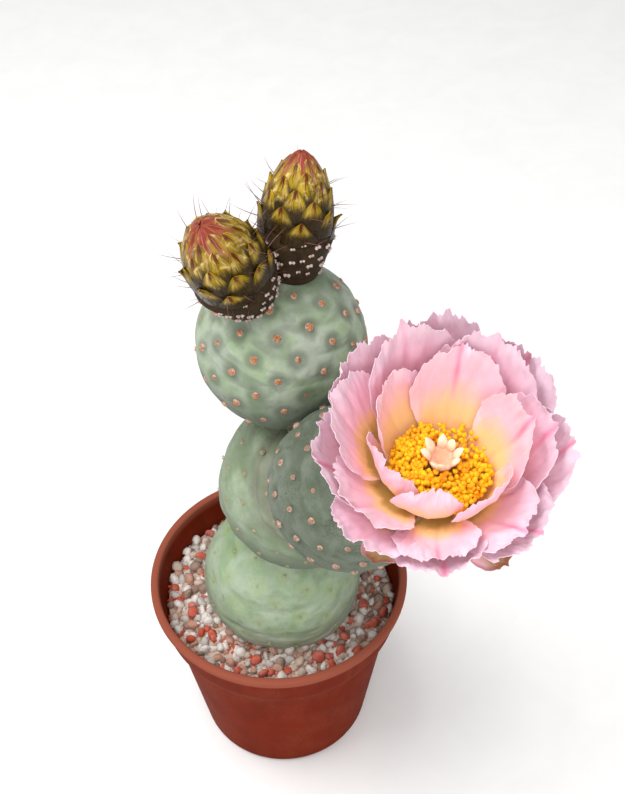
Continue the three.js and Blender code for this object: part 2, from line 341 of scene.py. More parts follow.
def bud_line(name):
    """Where a bud leaves the skin of the top segment, its direction, its length and its radius."""
    centre, globe_radius = globe_of("top")
    root = centre + Vector(BUDS[name]["root"]).normalized() * globe_radius
    axis = Vector(BUDS[name]["axis"]).normalized()
    low, high = (Vector(corner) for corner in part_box(f"bud_{name}_tepals"))
    return root, axis, (high.z - root.z) / axis.z, (high.x - low.x) / 2


def flower_frame(settings):
    """The flower's own frame: origin where the petals join, and Z along its axis."""
    axis = Vector(settings.axis).normalized()
    low, high = (Vector(corner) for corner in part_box("pistil"))
    middle = (low + high) / 2 - axis * settings.pistil_middle
    return Matrix.Translation(middle) @ Vector((0, 0, 1)).rotation_difference(axis).to_matrix().to_4x4()


# ---------------------------------------------------------------- mesh helpers
def link_mesh(name, made):
    mesh = bpy.data.meshes.new(name)
    made.to_mesh(mesh)
    made.free()
    piece = bpy.data.objects.new(name, mesh)
    bpy.context.scene.collection.objects.link(piece)
    mesh.shade_smooth()
    return piece


def ringed_mesh(rings):
    """A closed mesh from rings of points, with both ends fanned to their middles."""
    made = bmesh.new()
    rows = [[made.verts.new(point) for point in ring] for ring in rings]
    count = len(rows[0])
    for lower, upper in zip(rows, rows[1:]):
        for i in range(count):
            j = (i + 1) % count
            made.faces.new((lower[i], lower[j], upper[j], upper[i]))
    for row, flip in ((rows[0], True), (rows[-1], False)):
        middle = made.verts.new(sum((v.co for v in row), Vector()) / count)
        for i in range(count):
            corners = [row[i], row[(i + 1) % count], middle]
            made.faces.new(corners[::-1] if flip else corners)
    bmesh.ops.recalc_face_normals(made, faces=made.faces)
    return made


def turned_rings(profile, sides):
    """Rings about Z for (radius, height) points."""
    turns = [2 * math.pi * i / sides for i in range(sides)]
    return [[Vector((r * math.cos(a), r * math.sin(a), z)) for a in turns] for r, z in profile]


def swept_rings(curve, sections, sides, flat=1.0):
    """Rings along a quadratic curve of three points, for (share, radius) sections.

    flat is the thickness of a section in the plane of the curve, as a share of its width.
    """
    start, bend, end = curve
    turns = [2 * math.pi * i / sides for i in range(sides)]
    rings = []
    for share, radius in sections:
        rest = 1 - share
        middle = start * rest * rest + bend * 2 * rest * share + end * share * share
        tangent = (bend - start) * rest + (end - bend) * share
        turn = Vector((0, 0, 1)).rotation_difference(tangent)
        thin = (bend - start).cross(end - bend).normalized().cross(tangent.normalized())
        ring = []
        for a in turns:
            out = turn @ Vector((math.cos(a), math.sin(a), 0)) * radius
            ring.append(middle + out - thin * out.dot(thin) * (1 - flat))
        rings.append(ring)
    return rings


def rounded(points, radius, steps=6):
    """The outline with each inner corner replaced by a short curve."""
    kept = [Vector(points[0])]
    for before, corner, after in zip(points, points[1:], points[2:]):
        corner = Vector(corner)
        into = Vector(before) - corner
        out = Vector(after) - corner
        reach = min(radius, into.length / 2.2, out.length / 2.2)
        first = corner + into.normalized() * reach
        last = corner + out.normalized() * reach
        for i in range(steps + 1):
            t = i / steps
            kept.append(first * (1 - t) ** 2 + corner * 2 * t * (1 - t) + last * t * t)
    kept.append(Vector(points[-1]))
    return kept


# ---------------------------------------------------------------- shader node groups
def object_place(graph):
    return graph.add("ShaderNodeTexCoord", output="Object")


def patches_group():
    """Soft-edged cloudy patches in object space."""
    graph = Graph(bpy.data.node_groups.new(GROUP_NAMES[patches_group], "ShaderNodeTree"))
    inputs = [
        ("Patch Size", "Float", 0.01), ("Coverage", "Float", 0.5),
        ("Softness", "Float", 0.1), ("Seed", "Float", 0.0),
    ]
    graph.declare(inputs, [("Mask", "Float")])
    place = object_place(graph)
    seed = graph.given("Seed")
    place = graph.vector_math("ADD", place, graph.combine(seed, seed * 1.7, seed * 2.3))
    cloud = graph.noise(place, 1 / graph.given("Patch Size"), detail=4.0, roughness=0.55, distortion=0.6)
    edge = 0.75 - graph.given("Coverage") * 0.5
    soft = graph.given("Softness")
    return graph.result({"Mask": graph.step(cloud, edge - soft, edge + soft)})


def grain_group():
    """Fine bumps and pores in object space."""
    graph = Graph(bpy.data.node_groups.new(GROUP_NAMES[grain_group], "ShaderNodeTree"))
    inputs = [("Grain Size", "Float", 0.001), ("Pores", "Float", 0.3)]
    graph.declare(inputs, [("Height", "Float"), ("Shade", "Float")])
    place = object_place(graph)
    size = graph.given("Grain Size")
    fine = graph.noise(place, 1 / size, detail=4.0, roughness=0.65)
    cells = graph.add("ShaderNodeTexVoronoi", {"Vector": place, "Scale": 0.6 / size}, output="Distance")
    pores = graph.step(cells, 0.0, 0.35) * graph.given("Pores")
    height = fine + pores
    return graph.result({"Height": height, "Shade": graph.step(height, 0.35, 0.95)})


def dusting_group():
    """A colour with pale dust and fine darker specks over it."""
    graph = Graph(bpy.data.node_groups.new(GROUP_NAMES[dusting_group], "ShaderNodeTree"))
    inputs = [
        ("Color", "Color", (0.5, 0.5, 0.5)), ("Dust", "Color", (0.8, 0.78, 0.74)),
        ("Amount", "Float", 0.2), ("Speck Size", "Float", 0.0004),
    ]
    graph.declare(inputs, [("Color", "Color"), ("Mask", "Float")])
    place = object_place(graph)
    drift = graph.noise(place, 90.0, detail=3.0)
    speck = graph.noise(place, 1 / graph.given("Speck Size"), detail=2.0)
    mask = graph.step(drift, 0.4, 0.75) * graph.step(speck, 0.35, 0.65) * graph.given("Amount")
    dark = graph.step(speck, 0.28, 0.36, 0.25, 0.0) * graph.given("Amount")
    shade = graph.mix(dark, graph.given("Color"), (0.05, 0.045, 0.03))
    return graph.result({"Color": graph.mix(mask, shade, graph.given("Dust")), "Mask": mask})


GROUP_NAMES = {patches_group: "Cloudy Patches", grain_group: "Surface Grain", dusting_group: "Dusting"}


def shader_group(graph, builder, inputs, output=0):
    """Places one of the shared shader groups, built on first use, and returns its output."""
    tree = bpy.data.node_groups.get(GROUP_NAMES[builder]) or builder()
    return graph.add("ShaderNodeGroup", inputs, output, node_tree=tree)


def patches(graph, size, softness, coverage=0.5, seed=0.0):
    inputs = {"Patch Size": size, "Coverage": coverage, "Softness": softness, "Seed": seed}
    return shader_group(graph, patches_group, inputs)


def surface_grain(graph, size, pores, output="Height"):
    return shader_group(graph, grain_group, {"Grain Size": size, "Pores": pores}, output)


def dusted(graph, color, dust, amount, speck_size):
    inputs = {"Color": color, "Dust": dust, "Amount": amount, "Speck Size": speck_size}
    return shader_group(graph, dusting_group, inputs)


# ---------------------------------------------------------------- materials
def new_material(name):
    """The empty shading graph of a new material."""
    material = bpy.data.materials.new(name)
    material.use_nodes = True
    graph = Graph(material.node_tree)
    graph.material = material
    return graph


def finish_material(graph, color, roughness, height=None, bump=0.2, bump_distance=0.0003, **fixed):
    """Ends a material in one Principled shader, and returns it. fixed are sockets with a plain value."""
    shader = graph.node("ShaderNodeBsdfPrincipled", {"Base Color": color, "Roughness": roughness})
    for key, value in fixed.items():
        graph.put(shader.inputs[key.replace("_", " ").title().replace("Ior", "IOR")], value)
    if height is not None:
        inputs = {"Strength": bump, "Distance": bump_distance, "Height": height}
        graph.put(shader.inputs["Normal"], graph.add("ShaderNodeBump", inputs))
    output = graph.node("ShaderNodeOutputMaterial")
    graph.tree.links.new(shader.outputs[0], output.inputs[0])
    return graph.material


def attribute(graph, name):
    return graph.add("ShaderNodeAttribute", output="Fac", attribute_name=name)


def pot_material(settings):
    """Moulded terracotta-coloured plastic: flow streaks, a paler rolled lip painted as the light on its top
    and its highlight, darker towards the foot.
    """
    graph = new_material("pot_plastic")
    x, y, z = graph.separate(object_place(graph))
    streaks = graph.noise(graph.combine(x * 6, y * 6, z), 60.0, detail=3.0)
    cloud = patches(graph, 0.016, 0.25)
    body = graph.mix(graph.step(streaks, 0.35, 0.7) * 0.55, settings.body_color, settings.deep_color)
    body = graph.mix(cloud * 0.35, body, settings.warm_color)
    _, (_, _, top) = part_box("pot")
    # Painted light: the rolled lip is painted paler, as its top lit from above and its highlight.
    lip_light = graph.step(z, top - 3.5 * MM, top - 1.2 * MM)
    body = graph.mix(lip_light * 0.75, body, settings.lip_light_color)
    # Darker towards the foot, along the streaks.
    darker_foot = graph.step(z, 0.0, 0.006, 0.45, 0.0) * graph.step(streaks, 0.3, 0.6)
    body = graph.mix(darker_foot, body, settings.deep_color)
    body = dusted(graph, body, (0.3, 0.1, 0.06), 0.2, 0.0005)
    grain = surface_grain(graph, 0.0007, 0.15)
    roughness = 0.42 + grain * 0.12 + cloud * 0.08
    return finish_material(graph, body, roughness, grain, 0.12, 0.00025, specular_ior_level=0.01)


def mix_material():
    """Moist peat and bark with pale perlite crumbs."""
    graph = new_material("potting_mix")
    bark = patches(graph, 0.003, 0.08)
    crumbs = patches(graph, 0.0016, 0.02, coverage=0.12, seed=4.0)
    color = graph.mix(bark, srgb(44, 32, 24), srgb(92, 64, 44))
    color = graph.mix(crumbs, color, srgb(190, 182, 168))
    grain = surface_grain(graph, 0.0012, 0.8)
    return finish_material(graph, color, 0.92, grain, 0.8, 0.0008)


def gravel_material(settings):
    """Pumice, beige grit and brick chips, one tint for each grain."""
    graph = new_material("gravel")
    tint = attribute(graph, "tint")
    ramp = graph.node("ShaderNodeValToRGB")
    ramp.color_ramp.interpolation = "CONSTANT"
    stops = (
        (0.0, settings.pale_color), (0.3, settings.grey_color), (0.44, settings.beige_color),
        (0.58, settings.rose_color), (0.7, settings.brick_color), (0.87, settings.dark_color),
    )
    elements = ramp.color_ramp.elements
    while len(elements) < len(stops):
        elements.new(0.5)
    for element, (place, color) in zip(elements, stops):
        element.position = place
        element.color = (*color, 1)
    graph.put(ramp.inputs[0], tint)
    grain = surface_grain(graph, 0.0006, 0.8)
    shade = surface_grain(graph, 0.0009, 0.5, output="Shade")
    cloud = patches(graph, 0.002, 0.2, coverage=0.45)
    color = graph.mix(cloud * 0.18, Field(graph, ramp.outputs[0]), settings.pale_color)
    color = graph.mix(shade * 0.3, color, settings.dark_color, "MULTIPLY")
    color = dusted(graph, color, (0.75, 0.7, 0.64), 0.25, 0.0003)
    return finish_material(graph, color, 0.88, grain, 0.65, 0.0004)


def skin_material(settings, name, segment, green):
    """Waxy cactus skin: grey bloom over green, shadowed rings round the areoles, scars with age, painted
    shade in the folds, at the joint and underneath (paler underneath on the lowest segment, as painted
    light), and a painted grey sheen at the silhouette.
    """
    graph = new_material(name)
    age = segment["age"]
    near = attribute(graph, "areole")
    fold = attribute(graph, "fold")
    bloom = patches(graph, 0.008, 0.16, seed=age)
    fine = patches(graph, 0.0016, 0.2, seed=age)
    color = graph.mix(bloom * segment["bloom"], green, settings.bloom_color)
    color = graph.mix(fine * (0.3 + 0.6 * segment["dull_and_shade"]), color, settings.grey_color)
    ring = graph.step(near, 0.12, 0.7) * (0.62 - 0.6 * age)
    color = graph.mix(ring, color, settings.ring_color)
    color = graph.mix(graph.step(near, 0.05, 0.7) * (0.25 * age), color, settings.old_color)
    # Painted shade in the folds and dents: the skin there is mixed towards the shadowed green.
    color = graph.mix(fold * (0.5 - 0.2 * age), color, settings.ring_color)
    scar = patches(graph, 0.005, 0.05, coverage=0.08, seed=6 + age)
    color = graph.mix(scar * age * 0.6, color, settings.scar_and_shade_color)
    # Painted sheen: towards its silhouette the skin turns paler grey, as the waxy bloom would catch light at
    # grazing angles.
    rim = graph.add("ShaderNodeLayerWeight", {"Blend": 0.3}, output="Facing")
    color = graph.mix(graph.step(rim, 0.25, 0.9) * 0.4, color, settings.grey_color)
    color = dusted(graph, color, settings.bloom_color, 0.3, 0.0003)
    # Painted shade: the whole colour is multiplied towards the shadowed green, most on the side segment.
    color = graph.mix(segment["dull_and_shade"], color, settings.ring_color, "MULTIPLY")
    # Painted underside: the lowest segment's underside is painted paler (painted light), the others' darker
    # (painted shade).
    underside = settings.bloom_color if segment["under"] > 0 else settings.ring_color
    color = graph.mix(attribute(graph, "under") * abs(segment["under"]), color, underside)
    # Round the side segment's joint and in its groove the skin is mixed towards the scar colour: partly a
    # real corky scar, partly painted shade of the fold.
    color = graph.mix(attribute(graph, "collar") * 0.55, color, settings.scar_and_shade_color)
    grain = surface_grain(graph, 0.0007, 0.3)
    return finish_material(
        graph, color, 0.55 + fine * 0.1, grain, 0.24 * segment["rough"], 0.0003,
        subsurface_weight=0.06, subsurface_scale=0.002, specular_ior_level=0.3,
    )


def areole_material(settings, name, age, fresh):
    """Felted pads: a pale rim round a dense centre, orange while fresh and then brown."""
    graph = new_material(name)
    height = attribute(graph, "pad")
    felt = patches(graph, 0.0005, 0.15)
    rim = graph.mix(felt * 0.7, settings.pad_color, settings.ring_color)
    heart = graph.mix(felt, settings.glochid_color, settings.glochid_dark_color)
    heart = graph.mix(fresh, settings.spent_color, heart)
    color = graph.mix(graph.step(height + felt * 0.25, 0.6, 0.95) * (1 - 0.6 * age), rim, heart)
    color = graph.mix(0.85 * age * age, color, settings.old_color)
    grain = surface_grain(graph, 0.0002, 0.6)
    return finish_material(graph, color, 0.85, grain, 0.8, 0.0002, sheen_weight=0.3)


def receptacle_material(settings):
    """Near-black brown-green skin under the flowers."""
    graph = new_material("receptacle_skin")
    cloud = patches(graph, 0.003, 0.25)
    color = graph.mix(cloud, settings.husk_color, settings.husk_light_color)
    grain = surface_grain(graph, 0.0005, 0.5)
    return finish_material(graph, color, 0.5 + cloud * 0.2, grain, 0.4, 0.0003, specular_ior_level=0.08)


def tuft_material(settings):
    """Whitish-pink wool and bristles."""
    graph = new_material("tuft_wool")
    felt = patches(graph, 0.0006, 0.2)
    color = graph.mix(felt, settings.wool_color, settings.wool_dark_color)
    grain = surface_grain(graph, 0.0002, 0.6)
    return finish_material(graph, color, 0.85, grain, 0.7, 0.0002, sheen_weight=0.3)


def scale_material(settings):
    """Bud scales: glossy olive, dark at the foot, with a maroon flame up the middle to the tip, and pale
    straw streaks with a painted highlight on each flank.
    """
    graph = new_material("bud_scales")
    along = attribute(graph, "along")
    across = graph.math("ABSOLUTE", attribute(graph, "across"))
    order = attribute(graph, "order")
    grain_place = graph.combine(attribute(graph, "across") * 6, along * 1.3, order * 60)
    streak = graph.noise(grain_place, 1.6, detail=4.0)
    cloud = patches(graph, 0.0034, 0.1)
    dark = graph.math("MAXIMUM", graph.step(streak, 0.44, 0.62), cloud * 0.7)
    color = graph.mix(dark, settings.olive_color, settings.olive_dark_color)
    straw = patches(graph, 0.0022, 0.1, coverage=0.32, seed=5.0)
    # Painted highlight: a cream streak on each flank of the upper middle of a scale, joined with pale straw
    # patches on the upper scales.
    flank_highlight = graph.bump_at(across, 0.45, 0.26) * graph.bump_at(along, 0.66, 0.2)
    flank_highlight = flank_highlight * graph.step(streak, 0.42, 0.6)
    flank_highlight = graph.math("MAXIMUM", flank_highlight * 0.55, straw * graph.step(order, 0.2, 0.5) * 0.9)
    color = graph.mix(flank_highlight, color, settings.straw_and_highlight_color)
    foot = graph.step(along + order * 0.22 + (streak - 0.5) * 0.6, 0.4, 0.72, 0.95, 0.0)
    color = graph.mix(foot, color, settings.husk_color)
    seam = graph.step(across, 0.66, 0.92) * graph.step(along, 0.9, 0.6) * 0.8
    color = graph.mix(seam, color, settings.husk_color)
    edge = graph.step(across, 0.7, 1.0) * graph.step(order, 0.4, 0.8, 0.0, 0.35)
    color = graph.mix(edge, color, settings.blush_color)
    flame = graph.step(along - across * 0.6 + (streak - 0.5) * 0.8, 0.58, 0.78)
    color = graph.mix(flame * 0.92, color, settings.maroon_color)
    color = graph.mix(graph.step(order, 0.72, 0.92) * 0.8, color, settings.apex_color)
    pale = graph.step(order, 0.5, 0.8) * graph.step(streak, 0.56, 0.68) * 0.5
    color = graph.mix(pale, color, settings.blush_color)
    grain = surface_grain(graph, 0.0005, 0.2)
    height = grain * 0.4 + streak
    return finish_material(graph, color, 0.24 + cloud * 0.12, height, 0.5, 0.0004, specular_ior_level=0.12)


def hair_material(settings):
    """Brown needles, paler towards the point."""
    graph = new_material("bud_hairs")
    band = patches(graph, 0.002, 0.3)
    color = graph.mix(band * 0.5, settings.maroon_color, settings.wool_dark_color)
    return finish_material(graph, color, 0.5, specular_ior_level=0.2)


def petal_material(settings, name, whorl):
    """Petal tissue: olive throat, peach cup, pink blade, pale frayed rim and a rose midrib."""
    graph = new_material(name)
    outer = whorl["outer"]
    along = attribute(graph, "along")
    across = attribute(graph, "across")
    side = graph.math("ABSOLUTE", across)
    hue = attribute(graph, "hue")
    veins = graph.noise(graph.combine(across * 22, along * 1.3, hue * 30), 2.2, detail=5.0, roughness=0.65)
    cloud = patches(graph, 0.007, 0.25)
    reach = along + (veins - 0.5) * 0.12 + (hue - 0.5) * 0.16 + (cloud - 0.5) * 0.08
    olive = graph.mix(0.45 * (1 - outer), settings.throat_color, settings.peach_color)
    color = graph.mix(graph.step(reach, *whorl["throat"]), olive, settings.peach_color)
    color = graph.mix(graph.step(reach, *whorl["pink"]), color, settings.pink_color)
    lilac = graph.step(reach, 0.66 - 0.2 * outer, 1.0) * (0.45 + 0.4 * outer + cloud * 0.2)
    color = graph.mix(lilac, color, settings.lilac_color)
    color = graph.mix(graph.step(veins, 0.45, 0.75) * 0.08, color, settings.rose_color)
    rib = graph.bump_at(across, 0.0, 0.055) * graph.step(along, 0.5, 0.95)
    color = graph.mix(rib * graph.step(hue, 0.2, 0.8, 0.1, 0.95), color, settings.rose_color)
    rim = graph.math("MAXIMUM", graph.step(side, 0.7, 1.0), graph.step(along, 0.8, 1.0)) * 0.3
    color = graph.mix(rim, color, settings.rim_color)
    height = veins + (1 - graph.bump_at(across, 0.0, 0.05)) * 0.5
    return finish_material(
        graph, color, 0.42 + veins * 0.2, height, 0.22, 0.0003,
        subsurface_weight=0.12, subsurface_radius=(1.0, 0.6, 0.55), subsurface_scale=0.0015,
        sheen_weight=0.15, sheen_roughness=0.4,
    )


def sepal_material(settings):
    """Outermost tepals: pink, with an olive keel and a red-brown point."""
    graph = new_material("sepal")
    along = attribute(graph, "along")
    across = attribute(graph, "across")
    side = graph.math("ABSOLUTE", across)
    hue = attribute(graph, "hue")
    veins = graph.noise(graph.combine(across * 12, along * 1.2, hue * 30), 2.2, detail=4.0)
    color = graph.mix(graph.step(side + veins * 0.3, 0.35, 0.8), settings.keel_color, settings.pink_color)
    color = graph.mix(graph.step(along, 0.8, 0.97) * (1 - side * 0.6), color, settings.tip_color)
    rim = graph.step(side, 0.85, 1.0) * 0.45
    color = graph.mix(rim, color, settings.rim_color)
    return finish_material(
        graph, color, 0.48 + veins * 0.15, veins, 0.3, 0.0003,
        subsurface_weight=0.25, subsurface_radius=(1.0, 0.55, 0.5), subsurface_scale=0.002,
    )


def anther_material(settings):
    """Powdery pollen, egg yellow to orange with more orange as painted shade towards the flower's middle, on
    paler filaments.
    """
    graph = new_material("anther")
    tint = attribute(graph, "tint")
    thread = attribute(graph, "thread")
    color = graph.mix(tint, settings.pollen_color, settings.pollen_deep_color)
    color = graph.mix(thread, color, settings.filament_color)
    grain = surface_grain(graph, 0.0002, 0.5)
    glow = {"subsurface_weight": 0.2, "subsurface_scale": 0.001}
    return finish_material(graph, color, 0.75, grain, 0.6, 0.0002, **glow)


def pistil_material(settings):
    """Cream lobes on a salmon column."""
    graph = new_material("pistil")
    height = attribute(graph, "along")
    cloud = patches(graph, 0.0015, 0.3)
    color = graph.mix(graph.step(height, 0.74, 0.92), settings.style_color, settings.stigma_color)
    color = graph.mix(cloud * 0.25, color, settings.rim_color)
    grain = surface_grain(graph, 0.0003, 0.4)
    glow = {"subsurface_weight": 0.3, "subsurface_scale": 0.002}
    return finish_material(graph, color, 0.5, grain, 0.4, 0.0002, **glow)


def floor_material(settings):
    """Pale matte paper."""
    graph = new_material("floor")
    fibre = patches(graph, 0.02, 0.3)
    color = graph.mix(fibre * 0.4, settings.floor_color, (0.86, 0.86, 0.85))
    return finish_material(graph, color, 0.9)


# ---------------------------------------------------------------- geometry node trees
def random_value(graph, kind, low, high, seed):
    """A random number ('FLOAT') or vector ('FLOAT_VECTOR') for each point, from its index."""
    made = graph.node("FunctionNodeRandomValue", {"Seed": seed}, data_type=kind)
    place = {"FLOAT_VECTOR": 0, "FLOAT": 1}[kind]
    lows = [socket for socket in made.inputs if socket.name == "Min"]
    highs = [socket for socket in made.inputs if socket.name == "Max"]
    graph.put(lows[place], low)
    graph.put(highs[place], high)
    return Field(graph, made.outputs[place])


def store(graph, geometry, name, value, domain="POINT"):
    inputs = {"Geometry": geometry, "Name": name, "Value": value}
    return graph.add("GeometryNodeStoreNamedAttribute", inputs, data_type="FLOAT", domain=domain)


def position(graph):
    return graph.add("GeometryNodeInputPosition")


def point_number(graph):
    return graph.add("GeometryNodeInputIndex")


def named(graph, name):
    return graph.add("GeometryNodeInputNamedAttribute", {"Name": name}, data_type="FLOAT")


def move(graph, geometry, **inputs):
    return graph.add("GeometryNodeSetPosition", {"Geometry": geometry, **inputs})


def join(graph, *parts):
    made = graph.node("GeometryNodeJoinGeometry")
    for part in parts:
        graph.tree.links.new(part.socket, made.inputs[0])
    return Field(graph, made.outputs[0])


def smooth(graph, geometry):
    return graph.add("GeometryNodeSetShadeSmooth", {"Geometry": geometry})


def paint(graph, geometry, material):
    return graph.add("GeometryNodeSetMaterial", {"Geometry": geometry, "Material": graph.given(material)})


def realize(graph, geometry):
    return graph.add("GeometryNodeRealizeInstances", {"Geometry": geometry})


def rotation(graph, angles):
    return graph.add("FunctionNodeEulerToRotation", {"Euler": angles})


def placed(graph, geometry, place):
    """The geometry turned by the tree's Turn, and then moved to the input named place."""
    turn = rotation(graph, graph.given("Turn"))
    inputs = {"Geometry": geometry, "Translation": graph.given(place), "Rotation": turn}
    return graph.add("GeometryNodeTransform", inputs)


def polar(graph, radius, angle, height):
    """The place at a radius and an angle about Z, and at a height."""
    return graph.combine(radius * graph.math("COSINE", angle), radius * graph.math("SINE", angle), height)


def facing(graph, direction):
    """The rotation that turns Z to a direction."""
    return graph.add("FunctionNodeAlignRotationToVector", {"Vector": direction}, axis="Z")


def on_spiral(graph, count, place):
    """count points, moved to the place that the index field gives."""
    points = graph.add("GeometryNodePoints", {"Count": count})
    return move(graph, points, Position=place)


def globe_spiral(graph, count):
    """The direction of each of count points, spread in a golden-angle spiral over a globe."""
    index = point_number(graph)
    height = 1 - (index + 0.5) / count * 2
    ring = graph.math("SQRT", 1 - height * height)
    return polar(graph, ring, index * GOLDEN_ANGLE, height)


def bristle(graph, radius, length):
    """One four-sided needle, foot at the origin, along Z."""
    inputs = {"Vertices": 4, "Radius Top": 0.0, "Radius Bottom": radius, "Depth": length}
    return graph.add("GeometryNodeMeshCone", inputs)


def lump(graph, width, height, segments=10, rings=6):
    """A rounded cushion, centred on the origin, which remembers how high each point is."""
    ball = graph.add("GeometryNodeMeshUVSphere", {"Segments": segments, "Rings": rings, "Radius": 1.0})
    place = position(graph)
    ball = store(graph, ball, "pad", graph.separate(place)[2])
    size = graph.combine(width, width, height)
    return graph.add("GeometryNodeTransform", {"Geometry": ball, "Scale": size})


def segment_tree():
    """A globe of cactus skin: lumps, level folds, and a dimple with a felted pad at each areole."""
    graph = geometry_graph("Stem Segment", [
        ("Radius", "Float", 0.02), ("Centre", "Vector", None), ("Tilt", "Vector", None),
        ("Areoles", "Int", 60), ("Pad Radius", "Float", 0.001), ("Pad Height", "Float", 0.0006),
        ("Dimple Depth", "Float", 0.0006), ("Fold Depth", "Float", 0.0004), ("Dent Depth", "Float", 0.0001),
        ("Lump Height", "Float", 0.0006), ("Seed", "Float", 0.0),
        ("Host Centre", "Vector", None), ("Host Radius", "Float", 0.0),
        ("Guest Centre", "Vector", None), ("Guest Radius", "Float", 0.0),
        ("Skin", "Material", None), ("Felt", "Material", None),
    ])
    radius = graph.given("Radius")
    centre = graph.given("Centre")
    host = graph.given("Host Centre")
    clear = graph.given("Host Radius")
    tilt = rotation(graph, graph.given("Tilt"))
    outward = globe_spiral(graph, graph.given("Areoles"))
    areoles = on_spiral(graph, graph.given("Areoles"), graph.scaled(outward, radius))

    globe = graph.add("GeometryNodeMeshIcoSphere", {"Radius": radius, "Subdivisions": 7})
    place = position(graph)
    normal = graph.vector_math("NORMALIZE", place)
    seed = graph.given("Seed")
    seeded = graph.vector_math("ADD", place, graph.combine(seed, seed * 0.7, seed * 1.3))
    nearest = {"Geometry": areoles}
    distance = graph.add("GeometryNodeProximity", nearest, output="Distance", target_element="POINTS")
    pit = graph.bump_at(distance, 0.0, DIMPLE_WIDTH)
    near = graph.bump_at(distance, 0.0, RING_WIDTH)
    level = graph.vector_math("MULTIPLY", seeded, (1.0, 1.0, 5.0))
    crease = graph.step(graph.noise(level, 48.0, detail=2.0, distortion=0.25), 0.5, 0.36)
    dent = graph.step(graph.noise(seeded, 230.0, detail=3.0), 0.5, 0.32)
    lumps = graph.noise(seeded, 85.0, detail=1.0) - 0.5
    raised = lumps * graph.given("Lump Height") * 2
    sunk = pit * graph.given("Dimple Depth") + crease * graph.given("Fold Depth")
    sunk = sunk + dent * graph.given("Dent Depth")
    skin = move(graph, globe, Offset=graph.scaled(normal, raised - sunk))
    skin = store(graph, skin, "areole", near)
    skin = store(graph, skin, "fold", graph.math("MAXIMUM", crease, dent * 0.7))
    turned = {"Translation": centre, "Rotation": tilt}
    skin = graph.add("GeometryNodeTransform", {"Geometry": skin, **turned})
    away = graph.vector_math("SUBTRACT", place, host)
    length = graph.vector_math("LENGTH", away, output="Value")
    pushed = graph.scaled(away, graph.math("MAXIMUM", length, clear) / length)
    skin = move(graph, skin, Position=graph.vector_math("ADD", host, pushed))
    # How far down each point lies, kept as the mask of the underside's painted light and shade in the skin's
    # colour.
    down = graph.separate(graph.vector_math("SUBTRACT", centre, place))[2] / radius
    skin = store(graph, skin, "under", graph.step(down, -0.4, 0.5))
    beyond = graph.vector_math("DISTANCE", place, graph.given("Guest Centre"), output="Value")
    beyond = beyond - graph.given("Guest Radius") + (graph.noise(place, 120.0, detail=2.0) - 0.5) * 0.003
    groove = graph.bump_at(beyond, GROOVE_GAP, GROOVE_WIDTH)
    # The collar marks where the scar colour and the painted shade of the joint's fold go.
    collar = graph.math("MAXIMUM", graph.step(beyond, 0.0118, 0.0095) * 0.85, groove)
    skin = store(graph, skin, "collar", collar)
    inward = graph.vector_math("NORMALIZE", graph.vector_math("SUBTRACT", centre, place))
    skin = move(graph, skin, Offset=graph.scaled(inward, groove * GROOVE_DEPTH))
    skin = paint(graph, smooth(graph, skin), "Skin")

    pad_radius = graph.given("Pad Radius")
    pad = lump(graph, pad_radius, graph.given("Pad Height"))
    index = point_number(graph)
    reach = graph.math("SQRT", (index + 0.5) / 9) * pad_radius * 0.6
    spot = polar(graph, reach, index * GOLDEN_ANGLE, 0.0)
    spots = on_spiral(graph, 9, spot)
    splay = graph.vector_math("ADD", spot, graph.combine(0.0, 0.0, pad_radius * 1.1))
    tuft = {"Points": spots, "Instance": bristle(graph, 0.00008, 0.0011), "Rotation": facing(graph, splay)}
    tuft = store(graph, realize(graph, graph.add("GeometryNodeInstanceOnPoints", tuft)), "pad", 1.0)
    turned_place = graph.add("FunctionNodeRotateVector", {"Vector": place, "Rotation": tilt})
    turned_place = graph.vector_math("ADD", turned_place, centre)
    gap = graph.vector_math("DISTANCE", turned_place, host, output="Value")
    sizes = random_value(graph, "FLOAT", 0.75, 1.2, 1)
    pads = graph.add("GeometryNodeInstanceOnPoints", {
        "Points": move(graph, areoles, Offset=graph.scaled(graph.vector_math("NORMALIZE", place), -0.0005)),
        "Selection": graph.math("GREATER_THAN", gap, clear + 0.0012),
        "Instance": join(graph, pad, tuft),
        "Rotation": facing(graph, place),
        "Scale": sizes,
    })
    pads = graph.add("GeometryNodeTransform", {"Geometry": pads, **turned})
    pads = paint(graph, smooth(graph, realize(graph, pads)), "Felt")
    return graph.result({"Geometry": join(graph, skin, pads)})


